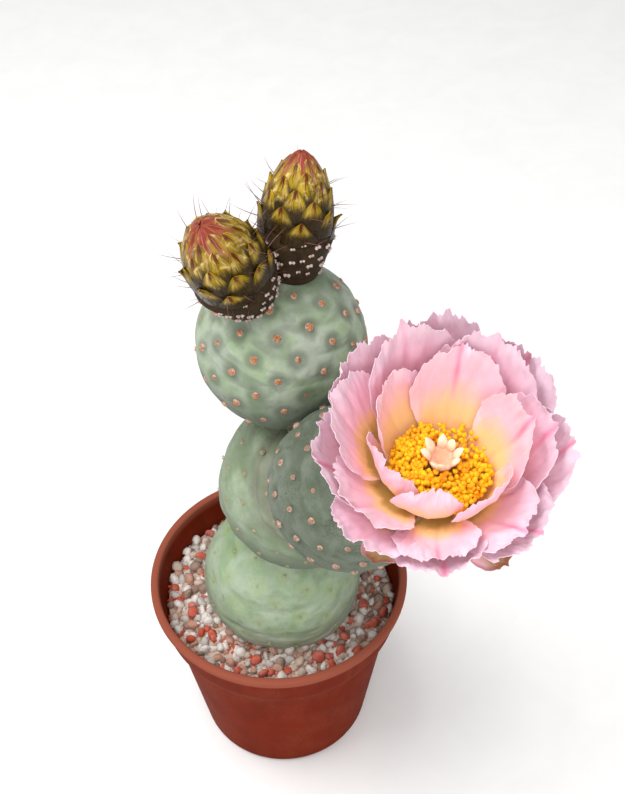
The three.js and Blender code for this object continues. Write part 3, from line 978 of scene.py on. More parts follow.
def gravel_tree():
    """Two layers of rounded grains on a gritty bed, each grain with a tint and a shape of its own."""
    graph = geometry_graph("Gravel", [
        ("Geometry", "Geometry", None), ("Grain Size", "Float", 0.0023),
        ("Seed", "Int", 1), ("Grit", "Material", None),
    ])
    bed = graph.given("Geometry")
    size = graph.given("Grain Size")
    seed = graph.given("Seed")
    place = position(graph)
    layers = []
    for number, (scale, apart, lift) in enumerate(((0.8, 0.9, -0.2), (1.0, 1.5, 0.2), (1.15, 2.8, 0.7))):
        inputs = {"Mesh": bed, "Distance Min": size * apart, "Density Max": 600000.0, "Seed": seed + number}
        spread = graph.node("GeometryNodeDistributePointsOnFaces", inputs, distribute_method="POISSON")
        points = Field(graph, spread.outputs["Points"])
        lifted = graph.combine(0.0, 0.0, size * lift)
        points = move(graph, points, Offset=lifted)
        grain = {"Segments": 8, "Rings": 5, "Radius": size * scale}
        grain = graph.add("GeometryNodeMeshUVSphere", grain)
        turn = random_value(graph, "FLOAT_VECTOR", (0.0, 0.0, 0.0), (6.28, 6.28, 6.28), number)
        stretch = random_value(graph, "FLOAT_VECTOR", (0.62, 0.7, 0.5), (1.15, 1.2, 0.95), 10 + number)
        turn = rotation(graph, turn)
        grains = {"Points": points, "Instance": grain, "Rotation": turn, "Scale": stretch}
        grains = graph.add("GeometryNodeInstanceOnPoints", grains)
        tint = random_value(graph, "FLOAT", 0.0, 1.0, 20 + number)
        layers.append(realize(graph, store(graph, grains, "tint", tint, "INSTANCE")))
    grains = join(graph, *layers)
    normal = graph.add("GeometryNodeInputNormal")
    chipped = (graph.noise(place, 650.0, detail=3.0, roughness=0.6) - 0.5) * size * 1.7
    grains = move(graph, grains, Offset=graph.scaled(normal, chipped))
    rough = (graph.noise(place, 500.0, detail=3.0) - 0.5) * size * 0.6
    bed = move(graph, bed, Offset=graph.combine(0.0, 0.0, rough))
    bed = store(graph, bed, "tint", 0.5)
    return graph.result({"Geometry": paint(graph, smooth(graph, join(graph, bed, grains)), "Grit")})


def tufts_tree():
    """Wool and short bristles in pairs over the part of a skin that its woolly attribute marks."""
    graph = geometry_graph("Tufted Skin", [
        ("Geometry", "Geometry", None), ("Tuft Size", "Float", 0.0004), ("Spacing", "Float", 0.0022),
        ("Seed", "Int", 1), ("Husk", "Material", None), ("Wool", "Material", None),
    ])
    skin = graph.given("Geometry")
    size = graph.given("Tuft Size")
    woolly = named(graph, "woolly")
    spread = graph.node("GeometryNodeDistributePointsOnFaces", {
        "Mesh": skin, "Selection": graph.math("GREATER_THAN", woolly, 0.5),
        "Distance Min": graph.given("Spacing"), "Density Max": 400000.0, "Seed": graph.given("Seed"),
    }, distribute_method="POISSON")
    parts = []
    for side in (-1, 1):
        half = lump(graph, size, size * 0.8, segments=6, rings=4)
        shift = graph.combine(size * 0.85 * side, 0.0, size * 0.2)
        parts.append(graph.add("GeometryNodeTransform", {"Geometry": half, "Translation": shift}))
        for lean in (0.5, 1.1):
            needle = bristle(graph, size * 0.2, size * 2.6)
            turn = rotation(graph, (lean - 0.8, lean * side * 0.7, 0.0))
            parts.append(graph.add("GeometryNodeTransform", {"Geometry": needle, "Rotation": turn}))
    sizes = random_value(graph, "FLOAT", 0.7, 1.25, 4)
    tufts = graph.add("GeometryNodeInstanceOnPoints", {
        "Points": Field(graph, spread.outputs["Points"]),
        "Instance": join(graph, *parts),
        "Rotation": Field(graph, spread.outputs["Rotation"]),
        "Scale": sizes,
    })
    tufts = paint(graph, smooth(graph, realize(graph, tufts)), "Wool")
    return graph.result({"Geometry": join(graph, paint(graph, smooth(graph, skin), "Husk"), tufts)})


def bud_profile(graph, share):
    """Radius of a closed bud at a share of its height, as a share of its widest radius."""
    held = graph.math("MINIMUM", graph.math("MAXIMUM", share, 0.0), 1.0)
    return (1 - held ** BUD_TAPER[0]) ** BUD_TAPER[1]


def scales_tree():
    """Overlapping pointed scales in a spiral up a closed bud."""
    graph = geometry_graph("Bud Scales", [
        ("Root", "Vector", None), ("Turn", "Vector", None), ("Radius", "Float", 0.009),
        ("Height", "Float", 0.02), ("Base", "Float", 0.009), ("Scales", "Int", 40),
        ("Scale Width", "Float", 0.0046), ("Lift", "Float", 0.0011), ("Seed", "Float", 0.0),
        ("Skin", "Material", None),
    ])
    radius = graph.given("Radius")
    grid = graph.add("GeometryNodeMeshGrid", SCALE_GRID)
    points = graph.add("GeometryNodePoints", {"Count": graph.given("Scales")})
    scales = graph.add("GeometryNodeInstanceOnPoints", {"Points": points, "Instance": grid})
    number = point_number(graph)
    scales = realize(graph, store(graph, scales, "number", number, "INSTANCE"))
    place = graph.separate(position(graph))
    along = place[1] + 0.5
    across = place[0] * 2
    scales = store(graph, store(graph, scales, "along", along), "across", across)

    along = named(graph, "along")
    across = named(graph, "across")
    number = named(graph, "number")
    order = number / (graph.given("Scales") - 1)
    wobble = graph.math("SINE", number * 12.9 + graph.given("Seed"))
    tip = 0.24 + (1 - (1 - order) ** 1.6) * 0.77
    share = tip - (1 - along) * (0.3 + order * 0.2 + wobble * 0.02)
    belly = 0.8 + graph.bump_at(along, 0.35, 0.35) * 0.2
    shape = ((1 - along ** 1.7) ** 0.95 * belly) ** (1 - order * 0.6)
    size = graph.given("Scale Width") * shape * (1.05 - order * 0.35)
    girth = radius * bud_profile(graph, share)
    angle = number * GOLDEN_ANGLE + across * size / graph.math("MAXIMUM", girth, radius * 0.19)
    keel = graph.bump_at(across, 0.0, 0.35) * 0.25
    flare = along ** 7 * (0.9 + wobble * 0.7) * (1 - order * 0.5)
    lift = graph.given("Lift") * (along * 0.8 - across * across * 0.35 + keel + flare + 0.15)
    spread = girth + lift * (1 - order * 0.88)
    high = graph.given("Base") + graph.given("Height") * share + lift * 0.2
    scales = move(graph, scales, Position=polar(graph, spread, angle, high))
    scales = store(graph, scales, "order", order)
    return graph.result({"Geometry": paint(graph, smooth(graph, placed(graph, scales, "Root")), "Skin")})


def hairs_tree():
    """Long bent needles standing out from between the scales."""
    graph = geometry_graph("Bud Hairs", [
        ("Root", "Vector", None), ("Turn", "Vector", None), ("Radius", "Float", 0.009),
        ("Height", "Float", 0.02), ("Base", "Float", 0.009), ("Hairs", "Int", 28),
        ("Hair Length", "Float", 0.005), ("Seed", "Int", 0), ("Hair", "Material", None),
    ])
    radius = graph.given("Radius")
    index = point_number(graph)
    share = (index + 0.5) / graph.given("Hairs")
    angle = index * GOLDEN_ANGLE * 1.02 + graph.given("Seed")
    height = share * 0.75 - 0.1
    girth = radius * bud_profile(graph, height)
    spot = polar(graph, girth, angle, graph.given("Base") + graph.given("Height") * height)
    needle = graph.add("GeometryNodeMeshCone", {
        "Vertices": 5, "Side Segments": 6, "Radius Top": 0.00001, "Radius Bottom": HAIR_RADIUS,
        "Depth": graph.given("Hair Length"),
    })
    rise = graph.separate(position(graph))[2]
    bent = rise * rise / graph.given("Hair Length") * 0.16
    needle = move(graph, needle, Offset=graph.combine(bent, 0.0, 0.0))
    tangle = random_value(graph, "FLOAT_VECTOR", (-0.45, -0.45, 0.15), (0.45, 0.45, 1.1), graph.given("Seed"))
    outward = graph.vector_math("ADD", polar(graph, 1.0, angle, 0.0), tangle)
    sizes = random_value(graph, "FLOAT", 0.45, 1.0, 7)
    hairs = graph.add("GeometryNodeInstanceOnPoints", {
        "Points": on_spiral(graph, graph.given("Hairs"), spot), "Instance": needle,
        "Rotation": facing(graph, outward), "Scale": sizes,
    })
    hairs = realize(graph, placed(graph, hairs, "Root"))
    return graph.result({"Geometry": paint(graph, smooth(graph, hairs), "Hair")})


def petal_tree():
    """One petal: a patch of its whorl's bowl with a ragged outline, ruffled edges and a midrib."""
    graph = geometry_graph("Petal", [
        ("Foot", "Vector", None), ("Pull", "Vector", None), ("Tip", "Vector", None),
        ("Pull Lean", "Vector", None), ("Tip Lean", "Vector", None), ("Swing", "Float", 0.0),
        ("Front Curl", "Float", 0.0), ("Heading", "Float", 0.0), ("Half Angle", "Float", 0.5),
        ("Roundness", "Float", 0.2), ("Point", "Float", 0.04), ("Ruffle", "Float", 0.0015),
        ("Overlap", "Float", 0.0009),
        ("Cup", "Float", 0.001), ("Curl", "Float", 0.0), ("Ragged", "Float", 0.05),
        ("Hue", "Float", 0.5), ("Seed", "Float", 0.0),
        ("Turn", "Vector", None), ("Origin", "Vector", None), ("Tissue", "Material", None),
    ])
    petal = graph.add("GeometryNodeMeshGrid", PETAL_GRID)
    place = graph.separate(position(graph))
    petal = store(graph, store(graph, petal, "across", place[0] * 2), "along", place[1] + 0.5)
    along = named(graph, "along")
    across = named(graph, "across")
    side = graph.math("ABSOLUTE", across)
    seed = graph.given("Seed")
    ragged = graph.given("Ragged")

    teeth = graph.noise(graph.combine(across * 3.2, seed, 1.0), 2.0, detail=3.0, roughness=0.55) - 0.5
    teeth = teeth + (graph.noise(graph.combine(across * 24, seed, 2.0), 1.0, detail=2.0) - 0.5) * 0.55
    short = graph.given("Roundness") * side ** 3.2 + teeth * ragged * 2
    point = graph.bump_at(across, 0.0, 0.07) * graph.given("Point")
    reach = along * (1 - short + point)
    nicks = graph.noise(graph.combine(reach * 7, seed * 2, across), 2.2, detail=4.0, roughness=0.6) - 0.5
    swell = graph.step(reach, -0.25, 0.6, 0.3, 1.0) - graph.step(reach, 0.75, 1.15, 0.0, 0.16)
    angle = graph.given("Half Angle") * across * swell * (1 + nicks * ragged * 2 * side)
    heading = graph.given("Heading") + angle
    backness = graph.math("SINE", heading + graph.given("Swing"))

    rest = 1 - reach
    foot = graph.separate(graph.given("Foot"))
    pull = graph.scaled(graph.given("Pull Lean"), backness)
    pull = graph.separate(graph.vector_math("ADD", graph.given("Pull"), pull))
    tip = graph.scaled(graph.given("Tip Lean"), backness)
    tip = graph.separate(graph.vector_math("ADD", graph.given("Tip"), tip))
    radius = rest * rest * foot[0] + rest * reach * pull[0] * 2 + reach * reach * tip[0]
    height = rest * rest * foot[2] + rest * reach * pull[2] * 2 + reach * reach * tip[2]
    run = rest * (pull[0] - foot[0]) + reach * (tip[0] - pull[0])
    rise = rest * (pull[2] - foot[2]) + reach * (tip[2] - pull[2])
    slope = graph.math("SQRT", run * run + rise * rise)

    wave_place = graph.combine(across * 1.5, reach * 1.8, seed)
    wave = graph.noise(wave_place, 1.5, detail=2.0, roughness=0.45) - 0.5
    frill = graph.noise(graph.combine(across * 4, reach * 4.5, seed + 5), 1.6, detail=2.0) - 0.5
    loose = graph.math("MAXIMUM", side ** 2 * reach, reach ** 3)
    off = wave * loose * graph.given("Ruffle") * 3 + frill * loose ** 2 * graph.given("Ruffle") * 1.6
    off = off + across * reach * graph.given("Overlap") + side * side * reach * graph.given("Cup")
    front = graph.math("MAXIMUM", 0 - backness, 0.0)
    curl = graph.given("Curl") + (graph.given("Front Curl") - graph.given("Curl")) * front
    off = off - graph.bump_at(across, 0.0, 0.09) * reach * 0.0003 - reach ** 4 * curl
    radius = radius - rise / slope * off
    height = height + run / slope * off
    petal = move(graph, petal, Position=polar(graph, radius, heading, height))
    petal = placed(graph, store(graph, petal, "hue", graph.given("Hue")), "Origin")
    return graph.result({"Geometry": paint(graph, smooth(graph, petal), "Tissue")})


def stamens_tree():
    """A crowd of threads from a ring at the flower's foot, each with a grain-covered anther."""
    graph = geometry_graph("Stamens", [
        ("Stamens", "Int", 260), ("Ring Radius", "Float", 0.0027), ("Foot Height", "Float", 0.0017),
        ("Spread", "Float", 0.009), ("Crown", "Float", 0.0095), ("Droop", "Float", 30.0),
        ("Anther Length", "Float", 0.00056), ("Anther Width", "Float", 0.00046),
        ("Turn", "Vector", None), ("Origin", "Vector", None), ("Pollen", "Material", None),
    ])
    index = point_number(graph)
    share = (index + 0.5) / graph.given("Stamens")
    angle = index * GOLDEN_ANGLE
    scatter = random_value(graph, "FLOAT", -0.0007, 0.0008, 5)
    ring = graph.given("Ring Radius")
    reach = ring + (graph.given("Spread") - ring) * share ** 0.6 + scatter
    jitter = random_value(graph, "FLOAT", -0.0017, 0.0009, 3)
    crown = graph.given("Crown") - graph.given("Droop") * reach * reach + jitter
    x = graph.math("COSINE", angle)
    y = graph.math("SINE", angle)
    thin = random_value(graph, "FLOAT", 0.0, 1.0, 6)
    kept = graph.math("GREATER_THAN", thin, graph.step(y + x * 0.5, -0.1, 1.1, 0.0, 0.85))
    foot = polar(graph, ring, angle, graph.given("Foot Height"))
    head = polar(graph, reach, angle, crown)
    thread = graph.vector_math("SUBTRACT", head, foot)
    length = graph.vector_math("LENGTH", thread, output="Value")
    cone = {"Vertices": 5, "Radius Top": 0.00011, "Radius Bottom": 0.00017, "Depth": 1.0}
    threads = graph.add("GeometryNodeInstanceOnPoints", {
        "Points": on_spiral(graph, graph.given("Stamens"), foot),
        "Instance": graph.add("GeometryNodeMeshCone", cone), "Selection": kept,
        "Rotation": facing(graph, thread), "Scale": graph.combine(1.0, 1.0, length),
    })
    threads = store(graph, realize(graph, threads), "thread", 1.0)
    bean = lump(graph, graph.given("Anther Width"), graph.given("Anther Length"), segments=8, rings=6)
    turn = random_value(graph, "FLOAT_VECTOR", (-0.9, -0.9, 0.0), (0.9, 0.9, 6.28), 8)
    sizes = random_value(graph, "FLOAT", 0.8, 1.25, 9)
    anthers = graph.add("GeometryNodeInstanceOnPoints", {
        "Points": on_spiral(graph, graph.given("Stamens"), head), "Instance": bean, "Selection": kept,
        "Rotation": rotation(graph, turn),
        "Scale": sizes,
    })
    # Painted shade: anthers near the middle of the flower lean to the deep orange.
    tint = random_value(graph, "FLOAT", 0.0, 1.0, 12) * (1 - share * 0.55)
    anthers = realize(graph, store(graph, anthers, "tint", tint, "INSTANCE"))
    pollen = graph.noise(position(graph), 1400.0, detail=1.0) - 0.5
    normal = graph.add("GeometryNodeInputNormal")
    anthers = move(graph, anthers, Offset=graph.scaled(normal, pollen * 0.0005))
    whole = placed(graph, join(graph, threads, anthers), "Origin")
    return graph.result({"Geometry": paint(graph, smooth(graph, whole), "Pollen")})


# ---------------------------------------------------------------- settings
def color_setting(name, description, red, green, blue):
    return bpy.props.FloatVectorProperty(
        name=name, description=description, subtype="COLOR", size=3, min=0, max=1,
        default=srgb(red, green, blue),
    )


def length_setting(name, description, millimetres):
    return bpy.props.FloatProperty(
        name=name, description=description, default=millimetres * MM, min=0,
        subtype="DISTANCE", unit="LENGTH",
    )


def count_setting(name, description, default):
    return bpy.props.IntProperty(name=name, description=description, default=default, min=1)


class CactusPotSettings(bpy.types.PropertyGroup):
    """The nursery pot and what fills it"""

    lip_width: length_setting("Lip width", "Width of the rolled lip at the rim", 2.2)
    wall: length_setting("Wall", "Thickness of the plastic", 1.2)
    floor: length_setting("Floor", "Thickness of the pot's floor", 1.6)
    band_height: length_setting("Band height", "Where the wide band under the lip begins", 48.4)
    shoulder_height: length_setting("Shoulder height", "Where the tapered body ends", 44.6)
    base_radius: length_setting("Base radius", "Radius of the pot's foot", 24.3)
    shoulder_radius: length_setting("Shoulder radius", "Radius at the top of the tapered body", 30.4)
    band_radius: length_setting("Band radius", "Radius at the foot of the band", 32.6)
    holes: count_setting("Drainage holes", "Number of holes in the floor", 6)
    hole_ring: length_setting("Hole ring", "Distance of the drainage holes from the middle", 17)
    hole_radius: length_setting("Hole radius", "Radius of a drainage hole", 2.5)
    body_color: color_setting("Body", "Plastic of the body", 108, 34, 16)
    deep_color: color_setting("Deep", "Plastic in the streaks", 92, 27, 12)
    warm_color: color_setting("Warm", "Plastic in the lighter patches", 128, 46, 24)
    # The lip colour is painted light: the rolled lip as lit from above, with its highlight.
    lip_light_color: color_setting("Lip", "Plastic at the rolled lip", 152, 86, 68)
    grain_size: length_setting("Grain size", "Radius of a middling gravel grain", 1.45)
    pale_color: color_setting("Pale grain", "Pumice", 246, 242, 236)
    grey_color: color_setting("Grey grain", "Grey pumice", 206, 202, 196)
    beige_color: color_setting("Beige grain", "Beige grit", 214, 190, 172)
    rose_color: color_setting("Rose grain", "Rosy grit", 200, 146, 124)
    brick_color: color_setting("Brick grain", "Red-orange brick chips", 208, 78, 42)
    dark_color: color_setting("Dark grain", "Brown grit and shadow", 152, 122, 104)


class CactusStemSettings(bpy.types.PropertyGroup):
    """The stem segments' skin and areoles"""

    areoles: count_setting("Areoles", "Areoles on one segment", 104)
    pad_radius: length_setting("Pad radius", "Radius of an areole's felted pad", 0.95)
    pad_height: length_setting("Pad height", "Height of an areole's felted pad", 0.75)
    dimple_depth: length_setting("Dimple depth", "Depth of the dimple round an areole", 0.4)
    fold_depth: length_setting("Fold depth", "Depth of the folds in the skin", 0.34)
    dent_depth: length_setting("Dent depth", "Depth of the small dents in the skin", 0.16)
    lump_height: length_setting("Lump height", "Height of the skin's broad lumps", 0.7)
    base_color: color_setting("Lowest", "Green of the lowest segment", 128, 154, 112)
    middle_color: color_setting("Middle", "Green of the middle segment", 126, 148, 108)
    top_color: color_setting("Top", "Green of the top segment", 152, 174, 136)
    side_color: color_setting("Side", "Green of the side segment", 92, 106, 86)
    bloom_color: color_setting("Bloom", "Waxy bloom on the skin", 180, 188, 174)
    grey_color: color_setting("Grey", "Greyer skin", 138, 146, 130)
    ring_color: color_setting("Ring", "Shadowed skin round an areole", 84, 94, 78)
    old_color: color_setting("Old areole", "Skin round an areole on an old segment", 156, 170, 116)
    # The scar colour also paints the shade in the fold at the side segment's joint.
    scar_and_shade_color: color_setting("Scar", "Corky scars on old segments", 110, 104, 90)
    pad_color: color_setting("Pad", "Rim of an areole's pad", 218, 172, 156)
    glochid_color: color_setting("Glochids", "Bristles in the middle of a pad", 206, 136, 58)
    glochid_dark_color: color_setting("Dark glochids", "Darker bristles", 160, 84, 56)
    spent_color: color_setting("Spent glochids", "Middle of a pad that has dried", 138, 92, 80)


class CactusBudSettings(bpy.types.PropertyGroup):
    """The closed buds and the woolly skin under every flower"""

    scales: count_setting("Scales", "Scales on one bud", 40)
    scale_width: length_setting("Scale width", "Half the width of the lowest scales", 4.4)
    lift: length_setting("Lift", "How far a scale's tip stands off the bud", 0.75)
    hairs: count_setting("Hairs", "Long hairs on one bud", 46)
    hair_length: length_setting("Hair length", "Length of the longest hairs", 7.5)
    tuft_size: length_setting("Tuft size", "Radius of a tuft of wool", 0.4)
    tuft_spacing: length_setting("Tuft spacing", "Least distance between tufts", 2.1)
    husk_color: color_setting("Husk", "Skin under the flower", 40, 29, 18)
    husk_light_color: color_setting("Light husk", "Lighter patches of that skin", 64, 50, 32)
    wool_color: color_setting("Wool", "Wool of the tufts", 226, 206, 198)
    wool_dark_color: color_setting("Dark wool", "Shaded wool", 178, 148, 136)
    olive_color: color_setting("Olive", "Scales", 170, 140, 2)
    olive_dark_color: color_setting("Dark olive", "Scales low on the bud", 76, 58, 4)
    # Straw is partly the scales' own pale streaks, partly the painted highlight on their flanks.
    straw_and_highlight_color: color_setting("Straw", "Pale streaks on the scales", 234, 202, 128)
    blush_color: color_setting("Blush", "Edges of the upper scales", 214, 150, 136)
    maroon_color: color_setting("Maroon", "Points of the scales", 88, 26, 22)
    apex_color: color_setting("Apex", "Tip of the bud", 142, 52, 44)


class CactusFlowerSettings(bpy.types.PropertyGroup):
    """The open flower"""

    axis: bpy.props.FloatVectorProperty(
        name="Axis", description="Direction that the flower faces", default=(-0.02, -0.31, 0.95),
        subtype="DIRECTION",
    )
    pistil_middle: length_setting("Pistil middle", "Height of the pistil's middle in the flower", 7.3)
    petal_thickness: length_setting("Petal thickness", "Thickness of a petal", 0.1)
    stamens: count_setting("Stamens", "Number of stamens", 1400)
    throat_color: color_setting("Throat", "Foot of the petals", 142, 118, 0)
    peach_color: color_setting("Peach", "Lower half of the petals", 255, 203, 138)
    pink_color: color_setting("Pink", "Blade of the petals", 252, 194, 210)
    lilac_color: color_setting("Lilac", "Upper part of the petals", 234, 200, 217)
    rose_color: color_setting("Rose", "Midrib and veins", 238, 112, 156)
    rim_color: color_setting("Rim", "Frayed pale rim", 238, 220, 229)
    keel_color: color_setting("Keel", "Middle of an outermost tepal", 164, 142, 78)
    tip_color: color_setting("Sepal tip", "Point of an outermost tepal", 134, 62, 44)
    pollen_color: color_setting("Pollen", "Anthers", 255, 202, 0)
    pollen_deep_color: color_setting("Deep pollen", "Shaded anthers", 255, 158, 0)
    filament_color: color_setting("Filament", "Threads of the stamens", 246, 196, 110)
    style_color: color_setting("Style", "Column of the pistil", 240, 150, 104)
    stigma_color: color_setting("Stigma", "Lobes of the pistil", 244, 220, 186)


class CactusStageSettings(bpy.types.PropertyGroup):
    """Floor, light and camera"""

    camera_place: bpy.props.FloatVectorProperty(
        name="Camera place", description="Where the camera stands", default=(0.01028, -0.19755, 0.32581),
        subtype="TRANSLATION", unit="LENGTH",
    )
    elevation: bpy.props.FloatProperty(
        name="Elevation", description="Angle that the camera looks down", default=math.radians(45.12),
        subtype="ANGLE",
    )
    roll: bpy.props.FloatProperty(
        name="Roll", description="Turn of the camera about its own view", default=math.radians(-1.304),
        subtype="ANGLE",
    )
    lens: bpy.props.FloatProperty(
        name="Lens", description="Focal length in mm on a 36 mm sensor", default=54.41, min=1,
    )
    key_power: bpy.props.FloatProperty(
        name="Key light", description="Power of the overhead light in watts", default=4.4, min=0,
    )
    fill_power: bpy.props.FloatProperty(
        name="Fill light", description="Power of the front light in watts", default=2.8, min=0,
    )
    world_strength: bpy.props.FloatProperty(
        name="World", description="Strength of the even light from all round", default=0.53, min=0,
    )
    floor_color: color_setting("Floor", "Pale floor", 251, 251, 250)


# ---------------------------------------------------------------- operators
class BuildPot(bpy.types.Operator):
    """Turns the pot with its rolled lip, band and drainage holes"""

    bl_idname = "cactus.build_pot"
    bl_label = "Build the pot"

    def execute(self, context):
        size = context.scene.cactus_pot
        _, (rim, _, top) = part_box("pot")
        outside = rounded([
            (0, 0), (size.base_radius - 2.2 * MM, 0), (size.base_radius - 2.2 * MM, 0.5 * MM),
            (size.base_radius - 1.2 * MM, 0), (size.base_radius, 1.4 * MM),
            (size.shoulder_radius, size.shoulder_height), (size.band_radius, size.band_height),
            (rim - 1.0 * MM, top - LIP_DEPTH - 0.4 * MM), (rim, top - LIP_DEPTH + 0.5 * MM), (rim, top),
            (rim - size.lip_width, top), (rim - size.lip_width, top - LIP_DEPTH),
            (size.band_radius - size.wall, size.band_height + 0.5 * MM),
            (size.shoulder_radius - size.wall, size.shoulder_height + 0.6 * MM),
            (size.base_radius - size.wall, size.floor), (0, size.floor),
        ], 2.6 * MM)
        made = ringed_mesh(turned_rings([(p.x, p.y) for p in outside[1:-1]], 144))
        pot = link_mesh("pot_shell", made)
        cutters = [self.cutter(size, i) for i in range(size.holes)]
        for cutter in cutters:
            cut = pot.modifiers.new("Drain", "BOOLEAN")
            cut.operation = "DIFFERENCE"
            cut.solver = "EXACT"
            cut.object = cutter
        graph = context.evaluated_depsgraph_get()
        mesh = bpy.data.meshes.new_from_object(pot.evaluated_get(graph), depsgraph=graph)
        pot.modifiers.clear()
        pot.data = mesh
        for cutter in cutters:
            bpy.data.objects.remove(cutter)
        mesh.shade_smooth()
        mesh.set_sharp_from_angle(angle=math.radians(50))
        mesh.materials.append(pot_material(size))
        claim(pot, "pot_plastic", "pot")
        return {"FINISHED"}

    @staticmethod
    def cutter(size, number):
        """The plug that one drainage hole is cut with."""
        angle = (number + 0.5) * 2 * math.pi / size.holes
        place = Vector((size.hole_ring * math.cos(angle), size.hole_ring * math.sin(angle), 0))
        ends = [(size.hole_radius, -size.floor), (size.hole_radius, 2 * size.floor)]
        rings = [[point + place for point in ring] for ring in turned_rings(ends, 32)]
        return link_mesh(f"drain_cutter_{number}", ringed_mesh(rings))


class BuildGravel(bpy.types.Operator):
    """Lays the gravel on its bed round the lowest segment, and gives the potting mix its finish"""

    bl_idname = "cactus.build_gravel"
    bl_label = "Build the gravel"

    def execute(self, context):
        size = context.scene.cactus_pot
        _, (_, _, top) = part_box("gravel")
        centre, radius = globe_of("base")
        level = top - GRAVEL_DEPTH
        inner = math.sqrt(radius ** 2 - (centre.z - level) ** 2)
        outer = size.band_radius - size.wall - 0.5 * MM
        middle = Vector((centre.x, centre.y, 0))
        near, far = turned_rings([(inner - 0.5 * MM, level), (outer, level)], GRAVEL_SIDES)
        bed = bmesh.new()
        rows = []
        for step in range(GRAVEL_STEPS + 1):
            share = step / GRAVEL_STEPS
            rows.append([bed.verts.new((a + middle).lerp(b, share)) for a, b in zip(near, far)])
        for nearer, further in zip(rows, rows[1:]):
            for i in range(GRAVEL_SIDES):
                j = (i + 1) % GRAVEL_SIDES
                bed.faces.new((nearer[i], further[i], further[j], nearer[j]))
        mesh = bpy.data.meshes.new("gravel_bed")
        bed.to_mesh(mesh)
        bed.free()
        inputs = {"Grain Size": size.grain_size, "Seed": 7, "Grit": gravel_material(size)}
        gravel = run_tree("gravel_grains", gravel_tree(), inputs, mesh)
        claim(gravel, "gravel", "gravel")
        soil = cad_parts["potting_mix"]
        soil.data.materials.clear()
        soil.data.materials.append(mix_material())
        return {"FINISHED"}


class BuildStem(bpy.types.Operator):
    """Grows the four globe-shaped stem segments with their areoles"""

    bl_idname = "cactus.build_stem"
    bl_label = "Build the stem"

    def execute(self, context):
        size = context.scene.cactus_stem
        tree = segment_tree()
        for name, segment in SEGMENTS.items():
            centre, radius = globe_of(name)
            age = segment["age"]
            inputs = {
                "Radius": radius, "Centre": centre, "Tilt": segment["tilt"], "Areoles": size.areoles,
                "Pad Radius": size.pad_radius * (1 - 0.55 * age),
                "Pad Height": size.pad_height * (1 - 0.5 * age),
                "Dimple Depth": size.dimple_depth * (1 - 0.3 * age),
                "Fold Depth": size.fold_depth * (0.25 + 0.75 * age),
                "Dent Depth": size.dent_depth * segment["rough"],
                "Lump Height": size.lump_height, "Seed": float(segment["seed"]),
                "Skin": skin_material(size, f"stem_skin_{name}", segment, getattr(size, f"{name}_color")),
                "Felt": areole_material(size, f"areole_felt_{name}", age, segment["fresh"]),
            }
            if segment["host"]:
                inputs["Host Centre"], inputs["Host Radius"] = globe_of(segment["host"])
            if segment["guest"]:
                inputs["Guest Centre"], inputs["Guest Radius"] = globe_of(segment["guest"])
            piece = run_tree(f"stem_{name}", tree, inputs)
            claim(piece, "stem_skin", f"stem_segment_{name}")
        return {"FINISHED"}


def receptacle(name, node, curve, sections, tufted, wool):
    """A receptacle swept along a curve, with wool at the points of its skin where tufted says so."""
    base = ringed_mesh(swept_rings(curve, sections, 72))
    mesh = bpy.data.meshes.new(name)
    base.to_mesh(mesh)
    base.free()
    mesh.shade_smooth()
    marks = mesh.attributes.new("woolly", "FLOAT", "POINT")
    marks.data.foreach_set("value", [float(tufted(vertex.co)) for vertex in mesh.vertices])
    tree = bpy.data.node_groups.get("Tufted Skin") or tufts_tree()
    claim(run_tree(name, tree, wool, mesh), "receptacle_skin", node)


class BuildBuds(bpy.types.Operator):
    """Grows the two closed buds: woolly receptacle, overlapping scales and hairs"""

    bl_idname = "cactus.build_buds"
    bl_label = "Build the buds"

    def execute(self, context):
        size = context.scene.cactus_buds
        trees = (scales_tree(), hairs_tree())
        skins = {"Husk": receptacle_material(size), "Wool": tuft_material(size)}
        scale_skin = scale_material(size)
        hair = hair_material(size)
        for name, bud in BUDS.items():
            root, axis, length, radius = bud_line(name)
            turn = Vector(Vector((0, 0, 1)).rotation_difference(axis).to_euler())
            base = BUD_FOOT * length
            core = radius * 0.9
            whole = length * 0.97 + ROOT_DEPTH
            start = root - axis * ROOT_DEPTH
            curve = (start, start + axis * whole / 2, start + axis * whole)
            sections = []
            for i in range(16):
                share = i / 16
                sections.append((share * (base + ROOT_DEPTH) / whole, radius * (0.55 + 0.43 * share ** 0.6)))
            for i in range(13):
                share = i / 12
                height = base + (whole - ROOT_DEPTH - base) * share + ROOT_DEPTH
                girth = core * (1 - share ** BUD_TAPER[0]) ** BUD_TAPER[1]
                sections.append((height / whole, girth + 0.1 * MM))

            def tufted(spot, root=root, axis=axis, base=base):
                return 0.5 * MM < (spot - root).dot(axis) < base + 1.2 * MM

            wool = {"Tuft Size": size.tuft_size, "Spacing": size.tuft_spacing, "Seed": bud["seed"], **skins}
            receptacle(f"bud_{name}_husk", f"bud_{name}_receptacle", curve, sections, tufted, wool)
            shared = {"Root": root, "Turn": turn, "Radius": core, "Height": length - base, "Base": base}
            scales = {
                **shared, "Scales": size.scales, "Scale Width": size.scale_width, "Lift": size.lift,
                "Seed": float(bud["seed"]), "Skin": scale_skin,
            }
            piece = run_tree(f"bud_{name}_scales", trees[0], scales, thickness=SCALE_THICKNESS)
            claim(piece, "bud_scales", f"bud_{name}_tepals")
            hairs = {
                **shared, "Hairs": size.hairs, "Hair Length": size.hair_length, "Seed": bud["seed"],
                "Hair": hair,
            }
            piece = run_tree(f"bud_{name}_hairs", trees[1], hairs)
            claim(piece, "bud_scales", f"bud_{name}_tepals")
        return {"FINISHED"}


